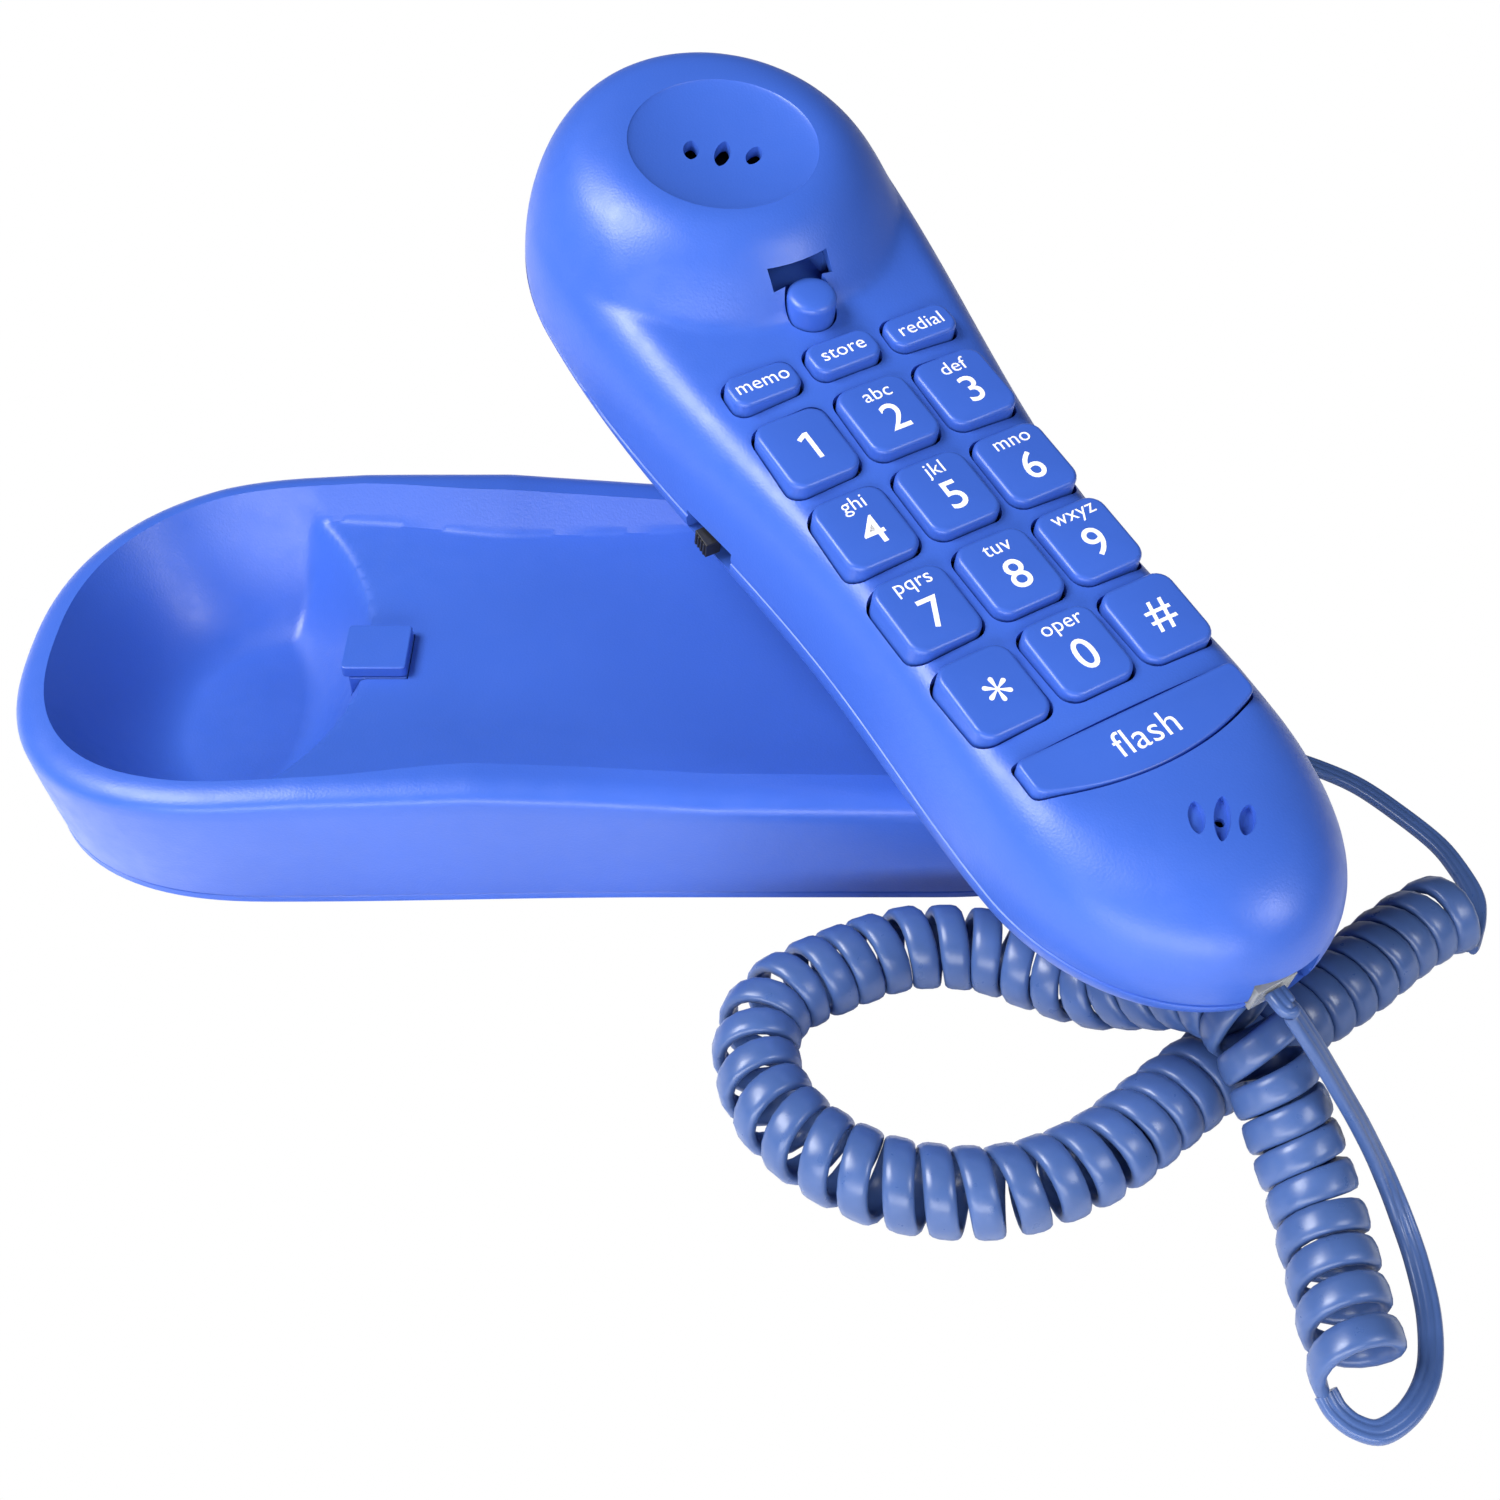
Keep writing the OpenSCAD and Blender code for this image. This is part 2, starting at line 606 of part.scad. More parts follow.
module microphone() {
    color(steel) put_handset() translate([0, mic_y, -3.5]) cylinder(h = 4.2, r = 3.4);
}

module microphone_boot() {
    color([0.12, 0.12, 0.13]) put_handset() translate([0, mic_y, -4.9]) difference() {
        cylinder(h = 6.6, r = 4.8);
        translate([0, 0, 1.4]) cylinder(h = 6, r = 3.4);
    }
}

module ringer_disc() {
    color([0.85, 0.7, 0.35]) put_handset() translate([0, ringer_y, ringer_z])
        cylinder(h = 0.6, r = 13);
}

module ringer_switch() {
    color([0.2, 0.2, 0.21]) put_handset() translate([-24.4, 24, -22.4]) cube([5.4, 16, 5.8]);
}

module ringer_slider() {
    color([0.06, 0.06, 0.07]) put_handset() translate([-32.6, 30, -20.9]) {
        cube([3, 4, 3.2]);
        translate([3, 0.8, 0.6]) cube([5, 2.4, 2]);
    }
}

module hook_switch() {
    color([0.1, 0.1, 0.11]) put_handset() translate([-5, plunger_y - 4, board_z - board_t - 6])
        cube([10, 8, 6]);
}

// Open coil that pushes the plunger out, as a stack of turns
module hook_spring() {
    bottom = board_z + 0.1;
    turns = 5;
    rise = 0.92;
    color(steel) put_handset() {
        for (k = [0:turns - 1]) translate([0, plunger_y, bottom + k * rise])
            rotate_extrude() translate([3.1, 0.35]) circle(0.35, $fn = 16);
        for (k = [0:turns - 2]) translate([3.1, plunger_y, bottom + 0.35 + k * rise])
            cylinder(h = rise, r = 0.3, $fn = 16);
    }
}

module hook_plunger() {
    stem = board_z - board_t + plunger_travel + 0.1;
    color(key_blue) put_handset() translate([0, plunger_y, 0]) {
        translate([0, 0, plunger_seat]) cylinder(h = plunger_top - plunger_seat - 0.6, r = plunger_r);
        translate([0, 0, plunger_top - 0.6]) cylinder(h = 0.6, r1 = plunger_r, r2 = plunger_r - 0.6);
        translate([0, 0, plunger_seat]) cylinder(h = 2, r = plunger_r + 1.4);
        translate([0, 0, stem]) cylinder(h = plunger_seat - stem + 0.1, r = 2);
    }
}

module handset_jack() {
    color([0.15, 0.15, 0.16]) put_handset() translate(handset_jack) rotate([0, 0, -90])
        socket(7.8, 6.4, 13, 1);
}

module handset_plug() {
    color(clear) put_handset() translate([handset_jack[0], handset_plug_end, handset_jack[2]])
        rotate([0, 0, -90]) plug();
}

// =====================================================================
// Keys
// =====================================================================

// A key at p: cap, retaining flange and the stem that presses the membrane
module key(p, w, l, r, flange_w, flange_l) {
    z = key_face(p);
    low = z - flange_drop;
    color(key_blue) put_handset() translate([p[0], p[1], 0]) {
        translate([0, 0, low]) rounded_plate(w, l, r, flange_drop + key_proud);
        translate([0, 0, low - flange_t]) rounded_plate(flange_w, flange_l, 1.5, flange_t);
        translate([0, 0, stem_end]) cylinder(h = low - flange_t - stem_end + 0.1, r = 2.5);
    }
}

module number_key(r, c) {
    key([(c - 1) * pitch_x, (1.5 - r) * pitch_y], key_w, key_l, key_round, key_w - 4, key_l + 2);
}

module function_key(c) {
    key([c * pitch_x, function_y], function_w, function_l, 2.6, function_w - 4, function_l + 2);
}

module key_memo() { function_key(-1); }
module key_store() { function_key(0); }
module key_redial() { function_key(1); }
module key_1() { number_key(0, 0); }
module key_2() { number_key(0, 1); }
module key_3() { number_key(0, 2); }
module key_4() { number_key(1, 0); }
module key_5() { number_key(1, 1); }
module key_6() { number_key(1, 2); }
module key_7() { number_key(2, 0); }
module key_8() { number_key(2, 1); }
module key_9() { number_key(2, 2); }
module key_star() { number_key(3, 0); }
module key_0() { number_key(3, 1); }
module key_hash() { number_key(3, 2); }

module key_flash() {
    top = plain_face(0, flash_y - 5) + 0.2;
    low = top - 3.6;
    color(key_blue) put_handset() {
        translate([0, 0, low]) linear_extrude(top - low) flash_shape(0);
        translate([-10, flash_y - 8, low - flange_t]) cube([20, 6, flange_t]);
        translate([0, flash_y - 5, stem_end]) cylinder(h = low - flange_t - stem_end + 0.1, r = 2.5);
    }
}

base_cover();
base_bottom();
base_feet();
base_screws();
ballast_plate();
hanger_tab();
base_jack();
line_jack();
jack_board();
base_plug();
base_lead();
curly_cord();
handset_lead();
handset_plug();
handset_jack();
handset_front();
handset_back();
handset_screws();
main_board();
keypad_membrane();
dialler_chip();
board_capacitors();
receiver();
receiver_gasket();
microphone();
microphone_boot();
ringer_disc();
ringer_switch();
ringer_slider();
hook_switch();
hook_spring();
hook_plunger();
key_memo();
key_store();
key_redial();
key_1();
key_2();
key_3();
key_4();
key_5();
key_6();
key_7();
key_8();
key_9();
key_star();
key_0();
key_hash();
key_flash();
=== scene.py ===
"""Slimline corded telephone: looks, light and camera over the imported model.

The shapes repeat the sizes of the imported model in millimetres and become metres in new_piece().
The handset is built in its own frame, x to its right, y to the earpiece and z out of its face,
and HANDSET lays it across the base.
"""
import math

import bmesh
import bpy
import numpy as np
from mathutils import Euler, Matrix, Vector


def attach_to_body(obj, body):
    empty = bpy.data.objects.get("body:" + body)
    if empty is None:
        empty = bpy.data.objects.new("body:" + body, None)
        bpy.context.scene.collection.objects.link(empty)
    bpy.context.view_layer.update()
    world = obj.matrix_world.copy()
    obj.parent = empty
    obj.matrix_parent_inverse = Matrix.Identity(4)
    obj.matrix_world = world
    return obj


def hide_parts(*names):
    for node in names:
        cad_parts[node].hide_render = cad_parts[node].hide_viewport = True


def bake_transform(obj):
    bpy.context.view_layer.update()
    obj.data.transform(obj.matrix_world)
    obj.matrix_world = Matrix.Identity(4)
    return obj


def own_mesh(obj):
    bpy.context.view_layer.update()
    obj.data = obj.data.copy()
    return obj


MM = 0.001
SIDE_STEP = 1.2         # spacing of the shells' points along their sides, in millimetres
SHARP = 38              # edges turning by more degrees than this stay sharp
BEVEL_FROM = 40         # edges turning by more degrees than this are bevelled

# ---- base, in millimetres ----
BASE_W = 46
BASE_WAIST = 44.8
BASE_STRAIGHT = 60      # the rounded ends start here
BASE_END = 47.9         # length of each rounded end
END_POWER = 2.4
FOOT_RATIO = 0.87
BASE_SEAM = 3
BASE_WALL = 2.4
RIM_W = (5.3, 7.6)      # width of the rim at the bowl and along the cradle
RIM_ROLL = 3            # height of the rim's rounding
ROLL_W = 5              # its width
PAST_RIM = 1.04         # share of the rim's width where the rings go on to the middle
PEAK_H = 35
FLOOR_Z = 25
BOWL_Z = 8.5
BOWL_EDGE = (-100, 55)  # centre and radius of the bowl's arc
BOWL_SIDE, BOWL_STEP = 20, 15       # run of the bowl's wall under the rim and under the cradle
CREASE = 0.5            # softening of the bowl's edge
WALL_SLOPE = 1.5        # fall of the cradle's side walls
RIM_X = [-108, -78, -50, -21, -3, 20, 60, 108]
RIM_DROP = [6, 2.5, 0.6, 0, 1.2, 3, 3.5, 8]
JACK_X = 100.2
JACK_Z = 12
COIL_JACK_Y = -10
LINE_JACK_Y = 12
COIL_JACK_SIZE = (8.4, 7)
LINE_JACK_SIZE = (10.4, 7.4)
TAB_SLOT = ((-48, -6.2, 9), (-36.8, 6.2, 30))
SCREWS = [(-78, -22), (-78, 22), (78, -22), (78, 22)]
KEYHOLES = [-45, 37.6]
KEYHOLE_R, KEYHOLE_SLOT, KEYHOLE_RUN = 4.6, 2.3, 9

# ---- handset, in millimetres and in its own frame ----
MOUTH_Y, MOUTH_W, MOUTH_L = -50, 28.4, 37       # where the end starts, its half-width and length
WAIST_Y, WAIST_W = -8, 27.2
EAR_Y, EAR_R = 82, 36.5
DOME_Y, DOME_IN, DOME_OUT, DOME_H = 85.5, 17, 33.5, 15.5    # centre, radii at top and foot, height
DISH_DEPTH = 2.6
FACE_SAG, FACE_CROWN = 0.00115, 0.0026
SEAM_DROP, SEAM_SAG = 20, 0.0012
HANDSET_T, BACK_SAG, BACK_CROWN = 35, 0.0019, 0.004
FRONT_ROUND, BACK_ROUND, EDGE_POWER = 0.3, 0.6, 2.4
MOUTH_ROUND = 0.45      # added to the front's rounding at the mouth's tip
SHELL_WALL = 2.2
HANDSET_JACK = (-2.5, -81, -10)
HANDSET_PLUG_END = -86.5
BASE_PLUG_END = 108.6
PLUNGER_Y, PLUNGER_R = 53.5, 4.4
SPRING_FOOT, SPRING_TOP, SPRING_TURNS = -11.45, -6.75, 4
SPRING_R, SPRING_WIRE = (4.3, 2.5), 0.2         # radius at the foot and the top, and the wire's
MIC_Y = -64
BACK_SCREWS = [(-13, 63), (13, 63), (-14, -60), (14, -60)]
HOLES_TURN = math.radians(-32)
HANDSET = Matrix.Translation((63.7, -20.4, 70.2)) @ Euler(
    [math.radians(a) for a in (12.5, -1.7, 30.8)]
).to_matrix().to_4x4()

# ---- keys ----
PITCH_X, PITCH_Y = 16, 18.5
KEY_W, KEY_L, KEY_ROUND = 13.7, 15.4, 3
FUNCTION_W, FUNCTION_L, FUNCTION_ROUND, FUNCTION_Y = 13.2, 7, 2.6, 42.5
KEY_PROUD = 1.8
KEY_DEEP = 5.5          # from the face down to the underside of a key's flange
HOLE_GAP = 0.45
FLASH_Y, FLASH_W, FLASH_L, FLASH_SIDE = -40.5, 42, 10.8, 6.2


# =====================================================================
# Mesh helpers
# =====================================================================

def new_piece(name, points, faces, place=None, angle=SHARP):
    """A mesh object from points in millimetres, put in place, with edges sharper than angle kept."""
    mesh = bpy.data.meshes.new(name)
    mesh.from_pydata([tuple(p) for p in points], [], faces)
    if place is not None:
        mesh.transform(place)
    mesh.transform(Matrix.Scale(MM, 4))
    obj = bpy.data.objects.new(name, mesh)
    bpy.context.scene.collection.objects.link(obj)
    clean(obj, angle)
    return obj


def clean(obj, angle=SHARP):
    """Welds doubled points, points the faces outwards and smooths all but the sharp edges."""
    mesh = obj.data
    bm = bmesh.new()
    bm.from_mesh(mesh)
    bmesh.ops.remove_doubles(bm, verts=bm.verts, dist=2e-6)
    bmesh.ops.dissolve_degenerate(bm, edges=bm.edges, dist=2e-6)
    bmesh.ops.recalc_face_normals(bm, faces=bm.faces)
    bm.to_mesh(mesh)
    bm.free()
    mesh.shade_smooth()
    mesh.set_sharp_from_angle(angle=math.radians(angle))


def loft(rings, closed=True):
    """Points and faces of a skin through rings with as many points each, with or without ends."""
    n = len(rings[0])
    points = [p for ring in rings for p in ring]
    faces = []
    for a in range(0, len(points) - n, n):
        b = a + n
        faces += [(a + k, a + (k + 1) % n, b + (k + 1) % n, b + k) for k in range(n)]
    if closed:
        faces.append(tuple(reversed(range(n))))
        faces.append(tuple(range(len(points) - n, len(points))))
    return points, faces


def join_parts(parts):
    """Several (points, faces) as one."""
    points, faces = [], []
    for part_points, part_faces in parts:
        shift = len(points)
        points += list(part_points)
        faces += [tuple(i + shift for i in face) for face in part_faces]
    return points, faces


def rounded_outline(w, l, r, steps=6):
    """Points round a rectangle w by l with corners of radius r, centred on the origin."""
    out = []
    for sx, sy, start in ((1, 1, 0), (-1, 1, 90), (-1, -1, 180), (1, -1, 270)):
        for k in range(steps + 1):
            a = math.radians(start + 90 * k / steps)
            out.append((sx * (w / 2 - r) + r * math.cos(a), sy * (l / 2 - r) + r * math.sin(a)))
    return out


def circle_outline(r, steps=48):
    """Points round a circle of radius r."""
    return [(r * math.cos(2 * math.pi * k / steps), r * math.sin(2 * math.pi * k / steps))
            for k in range(steps)]


def prism(outline, low, high, at=(0, 0)):
    """Points and faces of a straight prism over an outline."""
    rings = [[(x + at[0], y + at[1], z) for x, y in outline] for z in (low, high)]
    return loft(rings)


def block(low, high):
    """Points and faces of a box between two corners."""
    outline = [(low[0], low[1]), (high[0], low[1]), (high[0], high[1]), (low[0], high[1])]
    return prism(outline, low[2], high[2])


def cut(obj, parts, place=None):
    """Takes closed shapes, none of which touch each other, out of a piece."""
    points, faces = join_parts(parts)
    tool = new_piece(obj.name + "_cutter", points, faces, place)
    modifier = obj.modifiers.new("Cut", "BOOLEAN")
    modifier.operation = "DIFFERENCE"
    modifier.solver = "EXACT"
    modifier.object = tool
    apply_modifiers(obj)
    bpy.data.objects.remove(tool)
    clean(obj)


def attach(obj, parts, place=None):
    """Adds closed shapes to a piece."""
    points, faces = join_parts(parts)
    extra = new_piece(obj.name + "_extra", points, faces, place)
    bm = bmesh.new()
    bm.from_mesh(obj.data)
    bm.from_mesh(extra.data)
    bm.to_mesh(obj.data)
    bm.free()
    bpy.data.objects.remove(extra)
    obj.data.shade_smooth()
    obj.data.set_sharp_from_angle(angle=math.radians(SHARP))


def apply_modifiers(obj):
    """Turns a piece's modifiers into its mesh."""
    graph = bpy.context.evaluated_depsgraph_get()
    mesh = bpy.data.meshes.new_from_object(obj.evaluated_get(graph))
    obj.modifiers.clear()
    obj.data = mesh


def bevel(obj, width, segments=2):
    """Rounds the sharp edges of a piece by width, in millimetres."""
    modifier = obj.modifiers.new("Bevel", "BEVEL")
    modifier.width = width * MM
    modifier.segments = segments
    modifier.limit_method = "ANGLE"
    modifier.angle_limit = math.radians(BEVEL_FROM)
    modifier.harden_normals = True


# =====================================================================
# Shape of the base
# =====================================================================

def blend_step(t):
    return (1 - np.cos(np.pi * np.clip(t, 0, 1))) / 2


def base_mid(x):
    return BASE_W + (BASE_WAIST - BASE_W) * blend_step((x + BASE_STRAIGHT) / 70)


def rim_z(x):
    return PEAK_H - np.interp(x, RIM_X, RIM_DROP)


def cradle_z(x, y):
    return FLOOR_Z + 3 * (y / 37) ** 2 - 5 * blend_step((x - 60) / 40)


def rim_width(x):
    return RIM_W[0] + (RIM_W[1] - RIM_W[0]) * blend_step((x + 52) / 32)


def fall(t):
    return 1 - np.sin(np.pi / 2 * np.clip(t, 0, 1))


def inner_z(x, y, d):
    """Height of the base inside its rim, d in from the rim's inner edge."""
    run = BOWL_EDGE[1] - np.hypot(x - BOWL_EDGE[0], y)
    soft_run = (run + np.sqrt(run ** 2 + CREASE ** 2)) / 2
    floor = np.maximum(cradle_z(x, y), rim_z(x) - WALL_SLOPE * d)
    side = (rim_z(x) - BOWL_Z) * fall(d / BOWL_SIDE)
    bowl = BOWL_Z + np.maximum(side, (cradle_z(x, y) - BOWL_Z) * fall(soft_run / BOWL_STEP))
    share = blend_step((run + 1.5) / 3)
    return floor + (bowl - floor) * share


def base_top(x, y, d):
    """Height of the cover's outside, d in from its outline; the rim is crowned over its width."""
    width = rim_width(x)
    over = 1 - np.clip(d / np.minimum(width, ROLL_W), 0, 1)
    rolled = RIM_ROLL * (1 - np.sqrt(1 - over ** 2))
    return np.where(d > width, inner_z(x, y, d - width), rim_z(x) - rolled)


def base_contour(edge, wall, end_steps=44, side_step=SIDE_STEP):
    """Points round the base where its outline is scaled by edge and moved in by wall."""
    end, power = BASE_END - wall, 2 / END_POWER
    turn = np.linspace(0, np.pi / 2, end_steps + 1)
    side = np.arange(BASE_STRAIGHT - side_step, -BASE_STRAIGHT + 0.01, -side_step)
    # where the contour meets the ends, as shares of the end's length and of the half-width
    along = np.concatenate([np.cos(turn) ** power, np.zeros(len(side)), -np.cos(turn[::-1]) ** power])
    across = np.concatenate([np.sin(turn) ** power, np.ones(len(side)), np.sin(turn[::-1]) ** power])
    start = np.concatenate([np.full(end_steps + 1, BASE_STRAIGHT), side,
                            np.full(end_steps + 1, -BASE_STRAIGHT)])
    along = np.concatenate([along, along[1:-1][::-1]])
    across = np.concatenate([across, -across[1:-1][::-1]])
    start = np.concatenate([start, start[1:-1][::-1]])
    x = start + end * along * edge
    return x, across * edge * (base_mid(x) - wall)


def inset_contour(share, wall):
    """Points at a share of the rim's width, or past PAST_RIM at a share of the way to the middle."""
    width = rim_width(base_contour(1, wall)[0])
    past = np.clip(share - PAST_RIM, 0, 1)
    rim = width * min(share, PAST_RIM)
    inset = rim + (BASE_W - rim) * past
    x, y = base_contour(1 - inset / BASE_W, wall)
    return x, y, inset


def wall_ring(share, wall):
    """A ring of the cover's side wall; share runs from 0 at the rim's roll to 1 at the seam."""
    x, y = base_contour(1, wall)
    high = rim_z(x) - RIM_ROLL
    z = high + (BASE_SEAM - high) * share
    lean = 1 - (1 - FOOT_RATIO) * share ** 1.15
    x = np.sign(x) * (np.minimum(abs(x), BASE_STRAIGHT)
                      + np.maximum(0, abs(x) - BASE_STRAIGHT) * (1 - (1 - lean) / 4))
    return np.stack([x, y * lean, z], axis=1)


def cover_surface(wall):
    """Rings of the cover from its seam, up its side and in over its top to the centre line."""
    rings = [wall_ring(share, wall) for share in np.linspace(1, 0.08, 14)]
    rim = [0, 0.02, 0.06, 0.12, 0.2, 0.3, 0.42, 0.56, 0.7, 0.85, 1, PAST_RIM]
    for share in rim + list(PAST_RIM + np.linspace(0, 1, 54)[1:]):
        x, y, inset = inset_contour(share, wall)
        deep = inset + wall * (1 - inset / BASE_W)
        # the lower of two heights keeps the shell as thick across a steep wall
        z = np.minimum(base_top(x, y, deep), base_top(x, y, deep + wall)) - wall
        rings.append(np.stack([x, y, z], axis=1))
    return rings


def build_cover():
    """The base's upper shell, with the openings for its two jacks and the hanger tab."""
    rings = cover_surface(BASE_WALL)[::-1] + cover_surface(0)
    obj = new_piece("cover_shell", *loft(rings, closed=False))
    jacks = []
    for y, (w, h) in ((COIL_JACK_Y, COIL_JACK_SIZE), (LINE_JACK_Y, LINE_JACK_SIZE)):
        jacks.append(block((JACK_X - 1, y - w / 2, JACK_Z - h / 2),
                           (JACK_X + 20, y + w / 2, JACK_Z + h / 2)))
    cut(obj, jacks + [block(*TAB_SLOT)])
    return obj


def build_bottom():
    """Bottom plate with its keyhole slots and screw holes."""
    x, y = base_contour(1, 0, end_steps=30, side_step=6)
    rings = []
    for shrink, z in ((0.99, 1), (1, 1.4), (1, 2.6), (0.994, 2.9)):
        ring_x = np.sign(x) * (np.minimum(abs(x), BASE_STRAIGHT)
                               + np.maximum(0, abs(x) - BASE_STRAIGHT) * 0.967) * shrink
        rings.append(np.stack([ring_x, y * FOOT_RATIO * shrink, np.full(len(x), z)], axis=1))
    obj = new_piece("bottom_plate", *loft(rings))
    parts = [prism(circle_outline(1.7, 24), -1, 8, p) for p in SCREWS]
    meet = -KEYHOLE_R * math.cos(math.radians(30))
    head = [(x, y) for x, y in circle_outline(KEYHOLE_R) if x > meet]
    head = sorted(head, key=lambda p: math.atan2(p[1], p[0]))
    end = [(-KEYHOLE_RUN + KEYHOLE_SLOT * math.cos(a), KEYHOLE_SLOT * math.sin(a))
           for a in np.radians(np.linspace(90, 270, 13))]
    parts += [prism(head + end, -1, 8, (x, 0)) for x in KEYHOLES]
    cut(obj, parts)
    return obj


# =====================================================================
# Shape of the handset
# =====================================================================

def handset_mid(y):
    mouth = WAIST_W + (MOUTH_W - WAIST_W) * blend_step((WAIST_Y - y) / (WAIST_Y - MOUTH_Y))
    ear = WAIST_W + (EAR_R - WAIST_W) * blend_step((y - WAIST_Y) / (EAR_Y - WAIST_Y))
    return np.where(y < WAIST_Y, mouth, ear)


def seam_z(y):
    return -SEAM_DROP + SEAM_SAG * y ** 2


def plain_face(x, y):
    return FACE_SAG * y ** 2 - FACE_CROWN * x ** 2


def dish(r):
    return DISH_DEPTH * np.cos(np.pi / 2 * np.minimum(r / DOME_IN, 1)) ** 0.7


def face_z(x, y, dished):
    """Height of the front face; the dish in the dome is left out of the outside, and cut later."""
    r = np.hypot(x, y - DOME_Y)
    plain = plain_face(x, y)
    share = np.cos(np.pi / 2 * np.clip((r - DOME_IN) / (DOME_OUT - DOME_IN), 0, 1)) ** 1.12
    return plain + (DOME_H - plain) * share - (dish(r) if dished else 0)


def back_face(x, y):
    return -HANDSET_T + BACK_SAG * y ** 2 + BACK_CROWN * x ** 2


def handset_contour(edge, wall):
    """Points round the handset where its outline is scaled by edge and moved in by wall."""
    mouth = np.linspace(-np.pi / 2, 0, 37)
    ear = np.linspace(0, np.pi / 2, 49)
    y_side = np.arange(MOUTH_Y + SIDE_STEP, EAR_Y - 0.1, SIDE_STEP)
    half = np.concatenate([(MOUTH_W - wall) * np.cos(mouth), handset_mid(y_side) - wall,
                           (EAR_R - wall) * np.cos(ear)])
    half[0] = half[-1] = 0
    run = np.concatenate([(MOUTH_L - wall) * np.sin(mouth), np.zeros(len(y_side)),
                          (EAR_R - wall) * np.sin(ear)])
    start = np.concatenate([np.full(len(mouth), MOUTH_Y), y_side, np.full(len(ear), EAR_Y)])
    half = np.concatenate([half, -half[1:-1][::-1]])
    run = np.concatenate([run, run[1:-1][::-1]])
    start = np.concatenate([start, start[1:-1][::-1]])
    return half * edge, start + run * edge


def edge_share(up, y):
    """Share of the half-width that the edge's rounding takes; the mouth end is rounder in front."""
    if up < 0:
        return np.full(len(y), BACK_ROUND)
    return FRONT_ROUND + MOUTH_ROUND * blend_step((-32 - y) / 45)


def half_shell(up, wall):
    """Rings of one half of the handset, from the seam over the rounding to the centre line."""
    share = edge_share(up, handset_contour(1, wall)[1])
    rings = []
    if wall == 0:
        for edge, lift in ((0.991, 0), (0.991, 0.3), (0.9985, 0.42)):
            x, y = handset_contour(edge, 0)
            rings.append(np.stack([x, y, seam_z(y) + up * lift], axis=1))
    turns = np.radians(np.concatenate([[0 if wall else 2], np.linspace(5, 90, 18)]))
    edges = [1 - share * (1 - math.cos(a) ** (2 / EDGE_POWER)) for a in turns]
    swells = [math.sin(a) ** (2 / EDGE_POWER) for a in turns]
    inside = np.linspace(1 - share, 0, 28 if up > 0 else 14)[1:]
    for edge, swell in list(zip(edges, swells)) + [(edge, 1) for edge in inside]:
        x, y = handset_contour(edge, wall)
        face = face_z(x, y, wall > 0) - wall if up > 0 else back_face(x, y) + wall
        rings.append(np.stack([x, y, seam_z(y) + (face - seam_z(y)) * swell], axis=1))
    return rings


def shell_piece(name, up):
    rings = half_shell(up, SHELL_WALL)[::-1] + half_shell(up, 0)
    return new_piece(name, *loft(rings, closed=False), place=HANDSET)


def flash_outline(grow):
    """Outline of the flash key: a straight top, short sides and an arc below."""
    drop = FLASH_L - FLASH_SIDE
    radius = ((FLASH_W / 2) ** 2 + drop ** 2) / (2 * drop)
    middle = FLASH_Y - FLASH_L + radius
    half = FLASH_W / 2 + grow
    arc = [(x, middle - math.sqrt((radius + grow) ** 2 - x ** 2))
           for x in np.linspace(-half, half, 29)]
    return soften(arc + [(half, FLASH_Y + grow), (-half, FLASH_Y + grow)], 1.3)


def soften(outline, radius, steps=4):
    """Rounds the corners of an outline that turn by more than 30 degrees."""
    out = []
    for k, here in enumerate(outline):
        here = Vector(here)
        before = Vector(outline[k - 1]) - here
        after = Vector(outline[(k + 1) % len(outline)]) - here
        if before.angle(after) > math.radians(150):
            out.append(tuple(here))
            continue
        start = here + before.normalized() * min(radius, before.length * 0.9)
        end = here + after.normalized() * min(radius, after.length * 0.9)
        for j in range(steps + 1):
            t = j / steps
            out.append(tuple(start * (1 - t) ** 2 + here * 2 * t * (1 - t) + end * t ** 2))
    return out


def key_places():
    """Centre and size of every key but the flash key."""
    places = {}
    numbers = ["1", "2", "3", "4", "5", "6", "7", "8", "9", "star", "0", "hash"]
    for k, name in enumerate(numbers):
        centre = ((k % 3 - 1) * PITCH_X, (1.5 - k // 3) * PITCH_Y)
        places[name] = (centre, KEY_W, KEY_L, KEY_ROUND)
    for k, name in enumerate(["memo", "store", "redial"]):
        places[name] = (((k - 1) * PITCH_X, FUNCTION_Y), FUNCTION_W, FUNCTION_L, FUNCTION_ROUND)
    return places


def oval_outline(w, l, turn, at):
    """A pointed oval, w across and l long, turned and moved."""
    out = []
    for a in np.linspace(0, 2 * math.pi, 25)[:-1]:
        x, y = w / 2 * math.cos(a), l / 2 * math.sin(a) * (1 - 0.12 * abs(math.cos(a)))
        out.append((x * math.cos(turn) - y * math.sin(turn) + at[0],
                    x * math.sin(turn) + y * math.cos(turn) + at[1]))
    return out


def sound_ovals(w, middle_l, outer_l, spacing, centre_y, low, high):
    """Three ovals side by side across the shell, the middle one longer."""
    parts = []
    for k in (-1, 0, 1):
        at = (k * spacing * math.cos(HOLES_TURN), centre_y + k * spacing * math.sin(HOLES_TURN))
        outline = oval_outline(w, middle_l if k == 0 else outer_l,
                               HOLES_TURN - math.radians(8 + 8 * k), at)
        parts.append(prism(outline, low, high))
    return parts


def dish_cutter():
    """The dish in the earpiece dome as a turned solid."""
    rings = []
    for r in [DOME_IN, 16.97, 16.9, 16.75, 16.5, 16.1, 15.5, 14.6, 13.4, 11.8, 9.8, 7.4, 4.6, 1.6]:
        z = DOME_H - float(dish(r))
        rings.append([(x, y + DOME_Y, z) for x, y in circle_outline(r, 96)])
    top = [(x, y + DOME_Y, DOME_H + 4) for x, y in circle_outline(DOME_IN, 96)]
    return loft([top] + rings)


